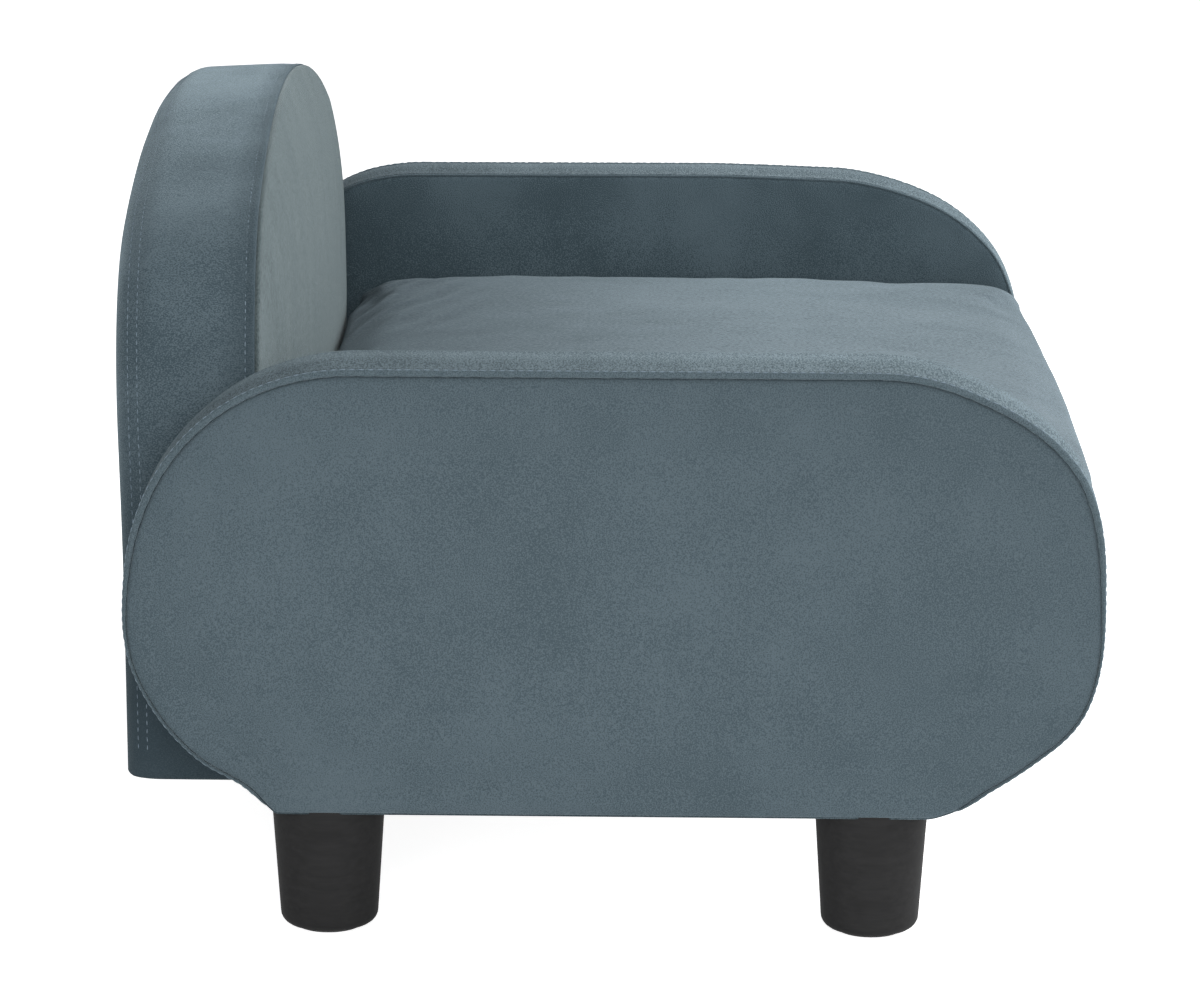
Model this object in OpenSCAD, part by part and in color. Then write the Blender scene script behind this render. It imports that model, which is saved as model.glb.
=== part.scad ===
// Dog sofa bed: two capsule-shaped arms on tapered legs, a tall arched back, a seat
// base bolted between them and a loose cushion. +X runs across the sofa, the front faces -Y, +Z is
// up, and the origin is on the floor under the middle of the sofa.

/* [Overall] */
// Width over both arms
overall_w = 700; // [600:10:900]
// Height of the back above the floor
overall_h = 393; // [380:1:440]

/* [Arms] */
// Thickness of one arm over its covers
arm_w = 60; // [54:1:90]
// Length of an arm from front to rear
arm_len = 484; // [470:2:600]
// Height of an arm from underside to top
arm_h = 226; // [216:2:250]
// How much larger the lower corner radius is than the upper one
arm_heel = 12; // [10:1:16]

/* [Legs] */
// Height of a leg on its glide, floor to arm
leg_h = 67; // [55:1:110]
// Diameter of a leg under the arm
leg_top_d = 57.5; // [48:0.5:58]
// Diameter of a leg at its foot
leg_foot_d = 49.7; // [40:0.1:52]
// Radius round the foot of a leg
leg_edge_r = 6; // [3:0.5:8]
// Front leg's axis behind the front of the arm
leg_front_in = 112; // [106:1:140]
// Rear leg's axis ahead of the rear of the arm
leg_rear_in = 97; // [94:1:140]

/* [Back] */
// Thickness of the back over its covers
back_t = 70; // [64:1:90]
// Radius of the two top corners
back_corner_r = 122; // [90:2:140]
// Radius of the broad curve over the top between them
back_crest_r = 600; // [500:20:1200]
// Radius of the soft rear edge
back_edge_r = 16; // [12:1:20]
// How far the back stands out behind the arms
back_over = 8; // [0:1:30]
// Crown of the padded front
back_crown = 11; // [5:1:16]

/* [Seat base] */
// Underside of the base above the underside of the arms
base_lift = 35; // [30:1:40]
// Height of the base over its covers
base_h = 70; // [64:1:80]
// Front of the base behind the front of the arms
base_front_in = 14; // [10:1:40]
// Radius of the base's top front edge
base_edge_r = 12; // [9:1:18]

/* [Cushion] */
// Thickness of the cushion at its edges
cushion_t = 55; // [44:1:66]
// Crown of its top above the edges
cushion_crown = 8; // [4:1:14]
// Radius round its top edges
cushion_top_r = 22; // [14:1:24]
// Radius round its bottom edges
cushion_low_r = 8; // [5:1:12]
// Radius of its corners seen from above
cushion_corner_r = 28; // [27:1:50]
// How far its sides draw in between the corners
cushion_draw = 4; // [2:0.5:8]
// How far its front bows out between the corners
cushion_bow = 6; // [0:1:8]
// How far its front corners stand ahead of the base
cushion_over = 8; // [0:1:14]

/* [Zip] */
// Length of the zip tape
zip_len = 360; // [200:10:400]
// Width of the zip tape
zip_w = 14; // [12:1:16]
// Depth of the channel that the zip lies in
zip_recess = 7; // [6.5:0.5:9]

/* [Upholstery] */
// Thickness of the velvet with its backing
fabric_t = 2; // [1.5:0.1:2.5]
// Foam on the faces of the arms
face_pad_t = 8; // [5:1:10]
// Foam over the edges of the arms and back
edge_pad_t = 5; // [3:1:8]
// Foam on the front of the back
back_pad_t = 12; // [8:1:16]
// Foam on the rear of the back
rear_pad_t = 5; // [3:1:7]
// Foam over the base
base_pad_t = 6; // [4:1:8]

/* [Frame] */
// Thickness of the plywood boards
board_t = 6; // [4:1:9]
// Thickness of the timber rails and posts
rail_t = 20; // [16:1:24]
// Height of the arm's leg rail and the back's bottom rail
low_rail_h = 38; // [32:1:42]
// Thickness of the bent edge strips
strip_t = 3; // [2:0.5:4]

/* [Hidden] */

velvet = "#56636a";
foam_colour = "#e6dcae";
plywood = "#c9a97a";
softwood = "#dbbf8c";
hardboard = "#7a5a3c";
satin_black = "#2b2b2d";
zinc = "#b9bcc0";

// Clearances
glue_gap = 0.1;     // between timbers that are glued and stapled together
soft_gap = 0.2;     // between a pad and the cover drawn over it
seat_gap = 0.5;     // between the arms and what is bolted between them
lift_gap = 0.3;     // under the loose cushion
side_gap = 1;       // beside and behind the loose cushion
hole_gap = 0.2;     // round a bolt, stud or nut in its hole
slide_gap = 0.3;    // round the zip's coil in the slider
overrun = 1;        // how far a cut runs past the face it leaves

// Edges of the upholstery, as distances inside the outline
welt_share = 0.675;
welt_r = fabric_t * welt_share;
welt_in = fabric_t / 2;
welt_out = welt_r - welt_in;            // how far the welts stand out of the arms
welt_seat = welt_in + welt_r + soft_gap;
pad_inset = fabric_t + soft_gap;
frame_inset = pad_inset + edge_pad_t + soft_gap;
strip_inset = frame_inset + strip_t + glue_gap;

// Arms
half_w = overall_w / 2;
arm_in_x = half_w - arm_w;
arm_mid_x = half_w - arm_w / 2;
front_out = max(welt_out, cushion_over + cushion_bow - base_front_in);  // ahead of the arms
arm_rear_y = (arm_len + back_over + front_out) / 2 - back_over;
arm_front_y = arm_rear_y - arm_len;
arm_mid_y = (arm_front_y + arm_rear_y) / 2;
arm_mid_z = leg_h + arm_h / 2;
arm_top_r = arm_h / 2;
arm_low_r = arm_top_r + arm_heel;
top_run = arm_len / 2 - arm_top_r;      // half of the straight top
low_run = arm_len / 2 - arm_low_r;      // half of the stretch between the lower corner centres
heel_angle = asin(arm_top_r / arm_low_r);
welt_trim = asin(2 * welt_r / arm_low_r);   // the welt stops this angle above the flat underside

// Layers of an arm, as depths below either face
arm_board_at = fabric_t + face_pad_t;
arm_core_at = arm_board_at + board_t;

// Legs, their studs, nuts and glides
leg_y = [arm_front_y + leg_front_in, arm_rear_y - leg_rear_in];
glide_r = 17;
glide_t = 1.5;
glide_pin_r = 2.5;
glide_pin_h = 9;
stud_r = 4;
stud_in_leg = 26;
leg_nut_r = 5.4;
leg_nut_h = 9;
leg_flange_r = 11;
leg_flange_t = 1.5;
leg_rail_top = low_rail_h + fabric_t;   // above the arm's underside
foot_arc_steps = 6;

// Back
back_w = 2 * (arm_in_x - seat_gap);
back_h = overall_h - leg_h;
back_rear_y = arm_rear_y + back_over;
back_front_y = back_rear_y - back_t;
back_pad_at = fabric_t;
back_board_at = back_pad_at + back_pad_t;
back_core_at = back_board_at + board_t;
rear_cover_at = back_t - fabric_t;
rear_pad_at = rear_cover_at - rear_pad_t;
rear_board_at = rear_pad_at - board_t;
back_crest_z = back_h - back_crest_r;               // centre of the broad curve over the top
back_turn_x = back_w / 2 - back_corner_r;           // centres of the two top corners
back_turn_z = back_crest_z + sqrt(pow(back_crest_r - back_corner_r, 2) - pow(back_turn_x, 2));
back_turn_angle = atan2(back_turn_z - back_crest_z, back_turn_x);
crown_power = 3;        // a high power keeps the crown full up to its edges
crown_turn_steps = 5;
crown_mid_steps = 8;
crown_rows = 9;

// Seat base
base_half_x = arm_in_x - seat_gap;
base_front_y = arm_front_y + base_front_in;
base_rear_y = back_front_y;
base_len = base_rear_y - base_front_y;
base_z0 = leg_h + base_lift;
base_top_z = base_z0 + base_h;
base_low_r = fabric_t + base_pad_t;     // radius of the lower front edge
base_return = 30;                       // width of the cover's turn under the front rail
dust_t = 0.8;
deck_inset = fabric_t + base_pad_t + 2 * soft_gap;
deck_z0 = base_top_z - deck_inset - board_t;
base_rail_z0 = base_z0 + fabric_t;
base_rail_h = deck_z0 - base_rail_z0;
front_rail_y = base_front_y + deck_inset;
rear_rail_y = base_rear_y - rail_t;
batten_w = 40;

// Bolts, washers and nuts that hold the base, arms and back together
bolt_r = 3;
bolt_head_r = 5.5;
bolt_head_h = 4;
bolt_tip = 2;
washer_r = 9;
washer_t = 1.5;
nut_r = 3.9;
nut_flange_r = 9;
nut_flange_t = 1.5;
bolt_z = base_rail_z0 + base_rail_h / 2;
arm_bolt_share = 0.7;
arm_bolt_y = [for (side = [-1, 1]) arm_mid_y + side * top_run * arm_bolt_share];
back_bolt_share = 0.62;
back_bolt_x = [for (side = [-1, 1]) side * base_half_x * back_bolt_share];

// Cushion
cushion_z0 = base_top_z + lift_gap;
cushion_half_x = arm_in_x - side_gap;
cushion_front_y = base_front_y - cushion_over;
cushion_rear_y = back_front_y - side_gap;
corner_steps = 3;
side_steps = 7;
low_steps = 2;
top_steps = 4;
crown_steps = 4;

// Zip
zip_t = 1;
zip_y = cushion_rear_y - back_crown - zip_recess;
zip_z = cushion_z0 + (cushion_t - cushion_top_r + cushion_low_r) / 2;
coil_w = 4;
coil_t = 1.6;
coil_short = 6;         // how far the coil stops short of each end of the tape
slider_len = 10;
slider_wall = 1.2;
slider_x = -zip_len / 2 + coil_short + slider_len / 2;
slider_face = coil_t + slide_gap + slider_wall;     // outer face of the slider above the tape
pull_t = 1;
pull_w = 4;
pull_len = 14;
pull_pin_r = 0.6;
pull_eye_r = 1.3;
pull_gap = 0.1;
lug_t = 1.2;

// Maps a flat outline, in front-to-rear and height from the middle of an arm, to a slab across X
module arm_slab(from_x, to_x)
    translate([from_x, arm_mid_y, arm_mid_z])
        rotate([90, 0, 90]) linear_extrude(to_x - from_x) children();

// Everything on an arm is made on the +X side and mirrored to the other
module on_side(side) mirror([side < 0 ? 1 : 0, 0, 0]) children();

// Outline of an arm from the side, drawn in by inset, and by foot_inset at the flat underside
module arm_outline(inset, foot_inset) {
    reach = arm_len / 2;
    intersection() {
        union() {
            for (end = [-1, 1]) translate([end * top_run, 0]) circle(r = arm_top_r - inset);
            square([2 * top_run, 2 * (arm_top_r - inset)], center = true);
        }
        translate([-reach, 0]) square([2 * reach, arm_top_r]);
    }
    intersection() {
        union() {
            for (end = [-1, 1]) translate([end * low_run, 0]) circle(r = arm_low_r - inset);
            square([2 * low_run, 2 * (arm_low_r - inset)], center = true);
        }
        translate([-reach, foot_inset - arm_top_r]) square([2 * reach, arm_top_r - foot_inset]);
    }
}

// Stretches of an edge trim. The child is its section: first inwards from the edge, then in depth.
// edge_run goes along -Y with the edge facing +X, and edge_turn goes from +X round towards +Y.
module edge_run(length)
    mirror([1, 0, 0]) rotate([90, 0, 0]) linear_extrude(length) children();

module edge_turn(radius, angle)
    rotate_extrude(angle = angle) translate([radius, 0]) mirror([1, 0]) children();

module leg_hole(radius) {
    for (y = leg_y) translate([arm_mid_x, y, leg_h - overrun])
        cylinder(r = radius, h = low_rail_h + fabric_t + 2 * overrun);
}

module arm_bolt_hole(radius) {
    for (y = arm_bolt_y) translate([arm_in_x - rail_t - 2 * overrun, y, bolt_z])
        rotate([0, 90, 0]) cylinder(r = radius, h = arm_core_at + rail_t + 3 * overrun);
}

module arm_outer_cover()
    color(velvet) arm_slab(half_w - fabric_t, half_w) arm_outline(welt_seat, 0);

module arm_inner_cover()
    color(velvet) difference() {
        arm_slab(arm_in_x, arm_in_x + fabric_t) arm_outline(welt_seat, 0);
        arm_bolt_hole(bolt_r + hole_gap);
    }

module arm_gusset()
    color(velvet) difference() {
        arm_slab(arm_in_x + welt_seat, half_w - welt_seat) difference() {
            arm_outline(0, 0);
            arm_outline(fabric_t, fabric_t);
        }
        leg_hole(stud_r + hole_gap);
    }

// One welt, lying in the plane z = 0, from one end of the flat underside over the top to the other
module welt_path() {
    module section() translate([welt_in, 0]) circle(r = welt_r);
    for (end = [0, 1]) mirror([end, 0, 0]) {
        translate([top_run, 0, 0]) edge_turn(arm_top_r, 90) section();
        translate([low_run, 0, 0]) mirror([0, 1, 0])
            edge_turn(arm_low_r, heel_angle - welt_trim) section();
    }
    translate([-top_run, arm_top_r, 0]) rotate([0, 0, 90]) edge_run(2 * top_run) section();
}

module arm_welts()
    color(velvet) for (x = [arm_in_x + welt_in, half_w - welt_in])
        translate([x, arm_mid_y, arm_mid_z]) rotate([90, 0, 90]) welt_path();

module arm_face_pad(from_x)
    arm_slab(from_x, from_x + face_pad_t) arm_outline(pad_inset, fabric_t);

module arm_outer_pad() color(foam_colour) arm_face_pad(half_w - arm_board_at);

module arm_inner_pad()
    color(foam_colour) difference() {
        arm_face_pad(arm_in_x + fabric_t);
        arm_bolt_hole(bolt_r + hole_gap);
    }

module arm_edge_pad()
    color(foam_colour) arm_slab(arm_in_x + arm_board_at, half_w - arm_board_at) difference() {
        arm_outline(pad_inset, fabric_t);
        arm_outline(pad_inset + edge_pad_t, 0);
    }

module arm_board(from_x)
    arm_slab(from_x, from_x + board_t) arm_outline(frame_inset, fabric_t);

module arm_outer_board() color(plywood) arm_board(half_w - arm_core_at);

module arm_inner_board()
    color(plywood) difference() {
        arm_board(arm_in_x + arm_board_at);
        arm_bolt_hole(nut_r + hole_gap);
    }

// The space between the two boards, over which the strip and timbers run
module arm_core() arm_slab(arm_in_x + arm_core_at, half_w - arm_core_at) children();

module arm_edge_strip()
    color(hardboard) arm_core() intersection() {
        difference() {
            arm_outline(frame_inset, fabric_t);
            arm_outline(frame_inset + strip_t, 0);
        }
        translate([-arm_len / 2, leg_rail_top + glue_gap - arm_top_r]) square([arm_len, arm_h]);
    }

// The posts stand over the legs, so their feet are bored out round the nuts' flanges
module arm_frame()
    color(softwood) difference() {
        arm_core() {
            translate([-top_run, arm_top_r - strip_inset - rail_t]) square([2 * top_run, rail_t]);
            for (end = [0, 1]) mirror([end, 0]) intersection() {
                arm_outline(strip_inset, 0);
                translate([top_run + glue_gap, leg_rail_top + glue_gap - arm_top_r])
                    square([rail_t, arm_h]);
            }
        }
        for (y = leg_y) translate([arm_mid_x, y, leg_h + leg_rail_top])
            cylinder(r = leg_flange_r + hole_gap, h = leg_flange_t + hole_gap);
    }

module arm_leg_rail()
    color(softwood) difference() {
        arm_core() intersection() {
            arm_outline(frame_inset, fabric_t);
            translate([-arm_len / 2, -arm_top_r]) square([arm_len, leg_rail_top]);
        }
        leg_hole(stud_r + hole_gap);
        for (y = leg_y) translate([arm_mid_x, y, leg_h + leg_rail_top - leg_nut_h])
            cylinder(r = leg_nut_r + hole_gap, h = leg_nut_h + overrun);
    }

// Half section of a leg: bored for its stud above and for the glide's pin below
function leg_profile() = let (
        foot_r = leg_foot_d / 2 - leg_edge_r,
        foot_z = glide_t + leg_edge_r,
        bore_r = stud_r + hole_gap,
        pin_bore_r = glide_pin_r + hole_gap
    ) concat(
        [[pin_bore_r, glide_t]],
        [for (k = [0:foot_arc_steps]) let (a = 90 * k / foot_arc_steps)
            [foot_r + leg_edge_r * sin(a), foot_z - leg_edge_r * cos(a)]],
        [[leg_top_d / 2, leg_h], [bore_r, leg_h], [bore_r, leg_h - stud_in_leg - overrun],
         [0, leg_h - stud_in_leg - overrun], [0, glide_t + glide_pin_h + overrun],
         [pin_bore_r, glide_t + glide_pin_h + overrun]]
    );

module leg(side, y)
    color(satin_black) translate([side * arm_mid_x, y, 0]) rotate_extrude() polygon(leg_profile());

module at_legs() for (side = [-1, 1], y = leg_y) translate([side * arm_mid_x, y, 0]) children();

module leg_glides()
    color("dimgray") at_legs() {
        cylinder(r = glide_r, h = glide_t);
        translate([0, 0, glide_t]) cylinder(r = glide_pin_r, h = glide_pin_h);
    }

module leg_studs()
    color(zinc) at_legs() translate([0, 0, leg_h - stud_in_leg])
        cylinder(r = stud_r, h = stud_in_leg + leg_rail_top + leg_flange_t);

module leg_tnuts()
    color(zinc) at_legs() translate([0, 0, leg_h + leg_rail_top]) difference() {
        union() {
            translate([0, 0, -leg_nut_h]) cylinder(r = leg_nut_r, h = leg_nut_h);
            cylinder(r = leg_flange_r, h = leg_flange_t);
        }
        translate([0, 0, -leg_nut_h - overrun])
            cylinder(r = stud_r + hole_gap, h = leg_nut_h + leg_flange_t + 2 * overrun);
    }

// Maps an outline across X and up from the back's underside to a depth behind its front seam
module back_place()
    translate([0, back_front_y, leg_h]) mirror([0, 1, 0]) rotate([90, 0, 0]) children();

module back_slab(from_depth, to_depth)
    back_place() translate([0, 0, from_depth])
        linear_extrude(to_depth - from_depth) children();

module back_outline(inset, foot_inset) {
    half = back_w / 2;
    meet_x = (back_crest_r - inset) * cos(back_turn_angle);
    for (side = [-1, 1]) translate([side * back_turn_x, back_turn_z])
        circle(r = back_corner_r - inset);
    translate([inset - half, foot_inset])
        square([2 * (half - inset), back_turn_z - foot_inset]);
    intersection() {
        translate([0, back_crest_z]) circle(r = back_crest_r - inset);
        translate([-meet_x, foot_inset]) square([2 * meet_x, back_h]);
    }
}

// Carries a section round the back's sides, top corners and top
module back_edge() {
    for (side = [0, 1]) mirror([side, 0, 0]) {
        translate([back_w / 2, back_turn_z, 0]) edge_run(back_turn_z) children();
        translate([back_turn_x, back_turn_z, 0])
            edge_turn(back_corner_r, back_turn_angle) children();
        translate([0, back_crest_z, 0]) rotate([0, 0, back_turn_angle])
            edge_turn(back_crest_r, 90 - back_turn_angle) children();
    }
}

// Section of the band: straight behind the front cover, then round the soft rear edge
module gusset_section() {
    turn_at = back_t - back_edge_r;
    translate([0, fabric_t]) square([fabric_t, turn_at - fabric_t]);
    intersection() {
        translate([back_edge_r, turn_at]) difference() {
            circle(r = back_edge_r);
            circle(r = back_edge_r - fabric_t);
        }
        translate([0, turn_at]) square(back_edge_r);
    }
}

module back_gusset() {
    half = back_w / 2;
    turn_at = back_t - back_edge_r;
    color(velvet) back_place() {
        back_edge() gusset_section();
        translate([fabric_t - half, 0, fabric_t])
            cube([2 * (half - fabric_t), fabric_t, turn_at - fabric_t]);
        translate([back_edge_r - half, 0, turn_at])
            cube([2 * (half - back_edge_r), fabric_t, back_edge_r - fabric_t]);
        for (side = [0, 1]) mirror([side, 0, 0]) translate([half - back_edge_r, 0, turn_at])
            intersection() {
                rotate([-90, 0, 0]) cylinder(r = back_edge_r - fabric_t / 2, h = fabric_t);
                cube([back_edge_r, fabric_t, back_edge_r]);
            }
    }
}

module back_rear_cover()
    color(velvet) back_slab(rear_cover_at, back_t) back_outline(back_edge_r + soft_gap, 0);

// How far the padded front stands proud of the seam at x and at share v of its height
function crown_reach(x) = back_crown * (1 - pow(abs(x) / (back_w / 2), crown_power));
function crown_at(x, v) = crown_reach(x) * (1 - pow(abs(2 * v - 1), crown_power));

// Columns of the padded front from -X to +X, each with the height of the outline over it. They
// stand closer together round the top corners.
function crown_columns(inset) = let (
        corner = [
            for (k = [0:crown_turn_steps - 1]) let (a = back_turn_angle * k / crown_turn_steps)
                [back_turn_x, back_turn_z] + (back_corner_r - inset) * [cos(a), sin(a)]
        ]
    ) concat(
        [for (p = corner) [-p[0], p[1]]],
        [for (k = [0:crown_mid_steps])
            let (a = back_turn_angle + (180 - 2 * back_turn_angle) * (1 - k / crown_mid_steps))
            [0, back_crest_z] + (back_crest_r - inset) * [cos(a), sin(a)]],
        [for (k = [crown_turn_steps - 1:-1:0]) corner[k]]
    );

// One face of the padded front, flat below the seat and crowned above it where crowned is 1
function crown_face(inset, foot_inset, depth, crowned) = [
        for (column = crown_columns(inset)) let (
            x = column[0],
            low_z = base_top_z - leg_h,
            rise = column[1] - low_z
        ) for (row = [-1:crown_rows]) let (v = (1 - cos(180 * max(row, 0) / crown_rows)) / 2)
            [x, back_front_y + depth - crowned * crown_at(x, v),
             leg_h + (row < 0 ? foot_inset : low_z + rise * v)]
    ];

// A closed sheet between a crowned front face and a rear face that is crowned or flat
module padded_front(inset, foot_inset, front_depth, rear_depth, rear_crowned) {
    columns = len(crown_columns(inset));
    rows = crown_rows + 2;
    face_points = columns * rows;
    edge = concat(
        [for (k = [0:rows - 2]) [k, k + 1]],
        [for (i = [0:columns - 2]) [i * rows + rows - 1, (i + 1) * rows + rows - 1]],
        [for (k = [rows - 1:-1:1]) [(columns - 1) * rows + k, (columns - 1) * rows + k - 1]],
        [for (i = [columns - 1:-1:1]) [i * rows, (i - 1) * rows]]
    );
    polyhedron(
        points = concat(
            crown_face(inset, foot_inset, front_depth, 1),
            crown_face(inset, foot_inset, rear_depth, rear_crowned)
        ),
        faces = concat(
            [for (i = [0:columns - 2], k = [0:rows - 2], upper = [0, 1]) let (p = i * rows + k)
                upper ? [p, p + 1, p + rows + 1] : [p, p + rows + 1, p + rows]],
            [for (i = [0:columns - 2], k = [0:rows - 2], upper = [0, 1])
                let (p = face_points + i * rows + k)
                upper ? [p, p + rows + 1, p + 1] : [p, p + rows, p + rows + 1]],
            [for (side = edge, second = [0, 1])
                second ? [side[1], face_points + side[0], face_points + side[1]]
                       : [side[1], side[0], face_points + side[0]]]
        )
    );
}

module back_bolt_hole(radius) {
    for (x = back_bolt_x) translate([x, rear_rail_y - overrun, bolt_z])
        rotate([-90, 0, 0]) cylinder(r = radius, h = rail_t + back_core_at + 2 * overrun);
}

module back_front_cover()
    color(velvet) difference() {
        padded_front(0, 0, 0, fabric_t, 1);
        back_bolt_hole(bolt_r + hole_gap);
    }

module back_front_pad()
    color(foam_colour) difference() {
        padded_front(pad_inset, fabric_t, fabric_t + soft_gap, back_board_at, 0);
        back_bolt_hole(bolt_r + hole_gap);
    }

module back_edge_pad()
    color(foam_colour) back_slab(back_board_at, back_t - back_edge_r) difference() {
        back_outline(pad_inset, fabric_t);
        back_outline(pad_inset + edge_pad_t, 0);
    }

module back_rear_pad()
    color(foam_colour) back_slab(rear_pad_at, rear_cover_at)
        back_outline(back_edge_r + soft_gap, fabric_t);

module back_front_board()
    color(plywood) difference() {
        back_slab(back_board_at, back_core_at) back_outline(frame_inset, fabric_t);
        back_bolt_hole(nut_r + hole_gap);
    }

module back_rear_board()
    color(plywood) back_slab(rear_board_at, rear_pad_at) back_outline(frame_inset, fabric_t);

module back_edge_strip()
    color(hardboard) back_slab(back_core_at, rear_board_at) difference() {
        back_outline(frame_inset, fabric_t);
        back_outline(frame_inset + strip_t, 0);
    }

module back_frame() {
    inner_w = back_w - 2 * strip_inset;
    color(softwood) back_slab(back_core_at, rear_board_at) {
        translate([-inner_w / 2, fabric_t]) square([inner_w, low_rail_h]);
        intersection() {
            difference() {
                back_outline(strip_inset, 0);
                back_outline(strip_inset + rail_t, 0);
            }
            translate([-back_turn_x, back_turn_z]) square([2 * back_turn_x, back_h]);
        }
        for (side = [0, 1]) mirror([side, 0]) intersection() {
            back_outline(strip_inset, 0);
            translate([inner_w / 2 - rail_t, fabric_t + low_rail_h + glue_gap])
                square([rail_t, back_h]);
        }
    }
}

// Outline of the base from the side: front and underside at zero, with its two front corners round
module base_profile(inset) {
    translate([base_low_r, inset]) square([base_len - base_low_r, base_h / 2]);
    translate([base_edge_r, base_h / 2]) square([base_len - base_edge_r, base_h / 2 - inset]);
    translate([inset, base_low_r])
        square([base_edge_r + base_low_r, base_h - base_edge_r - base_low_r]);
    translate([base_low_r, base_low_r]) circle(r = base_low_r - inset);
    translate([base_edge_r, base_h - base_edge_r]) circle(r = base_edge_r - inset);
}

module base_slab()
    translate([-base_half_x, base_front_y, base_z0])
        rotate([90, 0, 90]) linear_extrude(2 * base_half_x) children();

module base_cover()
    color(velvet) base_slab() difference() {
        base_profile(0);
        base_profile(fabric_t);
        translate([base_return, -overrun]) square([base_len, 2 * overrun + fabric_t]);
        translate([base_len, fabric_t - overrun])
            mirror([1, 0]) square([overrun, base_h - 2 * fabric_t + overrun]);
    }

module base_pad()
    color(foam_colour) base_slab() difference() {
        base_profile(pad_inset);
        translate([pad_inset + base_pad_t, -overrun])
            square([base_len, base_h - pad_inset - base_pad_t + overrun]);
        translate([-overrun, -overrun]) square([base_len, base_low_r + overrun]);
    }

module base_deck()
    color(plywood) translate([-base_half_x, front_rail_y, deck_z0])
        cube([2 * base_half_x, base_rear_y - front_rail_y, board_t]);

module base_rail(y)
    translate([-base_half_x, y, base_rail_z0])
        cube([2 * base_half_x, rail_t, base_rail_h - glue_gap]);

module base_front_rail() color(softwood) base_rail(front_rail_y);

module base_rear_rail()
    color(softwood) difference() {
        base_rail(rear_rail_y);
        back_bolt_hole(bolt_r + hole_gap);
    }

inner_rail_y = front_rail_y + rail_t + glue_gap;
inner_rail_len = rear_rail_y - glue_gap - inner_rail_y;

module base_side_rails()
    color(softwood) for (side = [-1, 1]) on_side(side) difference() {
        translate([base_half_x - rail_t, inner_rail_y, base_rail_z0])
            cube([rail_t, inner_rail_len, base_rail_h - glue_gap]);
        arm_bolt_hole(bolt_r + hole_gap);
    }

module base_battens()
    color(softwood) for (side = [-1, 1])
        translate([side * base_half_x / 3 - batten_w / 2, inner_rail_y, deck_z0 - glue_gap - rail_t])
            cube([batten_w, inner_rail_len, rail_t]);

module base_dust_cover()
    color("#1d1d1f") translate([-base_half_x, base_front_y + base_return + soft_gap,
                                base_rail_z0 - dust_t])
        cube([2 * base_half_x, base_len - base_return - soft_gap, dust_t]);

// Each bolt's own +Z runs from under its head towards the nut
module at_arm_bolts()
    for (side = [-1, 1], y = arm_bolt_y) on_side(side)
        translate([base_half_x - rail_t, y, bolt_z]) rotate([0, 90, 0]) children();

module at_back_bolts()
    for (x = back_bolt_x) translate([x, rear_rail_y, bolt_z]) rotate([-90, 0, 0]) children();

module bolt(reach) {
    translate([0, 0, -washer_t - bolt_head_h]) cylinder(r = bolt_head_r, h = bolt_head_h, $fn = 6);
    translate([0, 0, -washer_t]) cylinder(r = bolt_r, h = washer_t + reach + bolt_tip);
}

module washer()
    translate([0, 0, -washer_t]) difference() {
        cylinder(r = washer_r, h = washer_t);
        translate([0, 0, -overrun]) cylinder(r = bolt_r + hole_gap, h = washer_t + 2 * overrun);
    }

module frame_tnut(board_face)
    translate([0, 0, board_face]) difference() {
        union() {
            translate([0, 0, -board_t]) cylinder(r = nut_r, h = board_t);
            cylinder(r = nut_flange_r, h = nut_flange_t);
        }
        translate([0, 0, -board_t - overrun])
            cylinder(r = bolt_r + hole_gap, h = board_t + nut_flange_t + 2 * overrun);
    }

// From a washer's seat to the inside of the board that holds the nut
arm_grip = rail_t + seat_gap + arm_core_at;
back_grip = rail_t + back_core_at;

module arm_bolts() color(zinc) at_arm_bolts() bolt(arm_grip + nut_flange_t);

module back_bolts() color(zinc) at_back_bolts() bolt(back_grip + nut_flange_t);

module frame_washers() color(zinc) {
    at_arm_bolts() washer();
    at_back_bolts() washer();
}

module frame_tnuts() color(zinc) {
    at_arm_bolts() frame_tnut(arm_grip);
    at_back_bolts() frame_tnut(back_grip);
}

// Points between the two ends of a cushion's side, drawn in along inward
function side_points(from, to, inward, draw) = [
        for (k = [1:side_steps - 1]) let (t = k / side_steps)
            from + (to - from) * t + inward * draw * 4 * t * (1 - t)
    ];

function corner_points(centre, radius, start) = [
        for (k = [0:corner_steps]) let (a = start + 90 * k / corner_steps)
            centre + radius * [cos(a), sin(a)]
    ];

// Where the cushion's rear side stands at x: clear of the crowned back as it lifts out
function rear_line(x) = cushion_rear_y - crown_reach(x);

// Outline of the cushion from above, anticlockwise, drawn in by inset
function cushion_ring(inset) = let (
        x = cushion_half_x - cushion_corner_r,
        front = cushion_front_y + cushion_corner_r,
        rear = rear_line(x) - cushion_corner_r,
        r = cushion_corner_r - inset
    ) concat(
        corner_points([x, rear], r, 0),
        [for (k = [1:side_steps - 1]) let (rear_x = x * (1 - 2 * k / side_steps))
            [rear_x, rear_line(rear_x) - inset]],
        corner_points([-x, rear], r, 90),
        side_points([-x - r, rear], [-x - r, front], [1, 0], cushion_draw),
        corner_points([-x, front], r, 180),
        side_points([-x, front - r], [x, front - r], [0, -1], cushion_bow),
        corner_points([x, front], r, 270),
        side_points([x + r, front], [x + r, rear], [-1, 0], cushion_draw)
    );

function at_height(ring, z) = [for (p = ring) [p[0], p[1], z]];

cushion_mid = [0, (cushion_front_y + cushion_rear_y) / 2];

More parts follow.
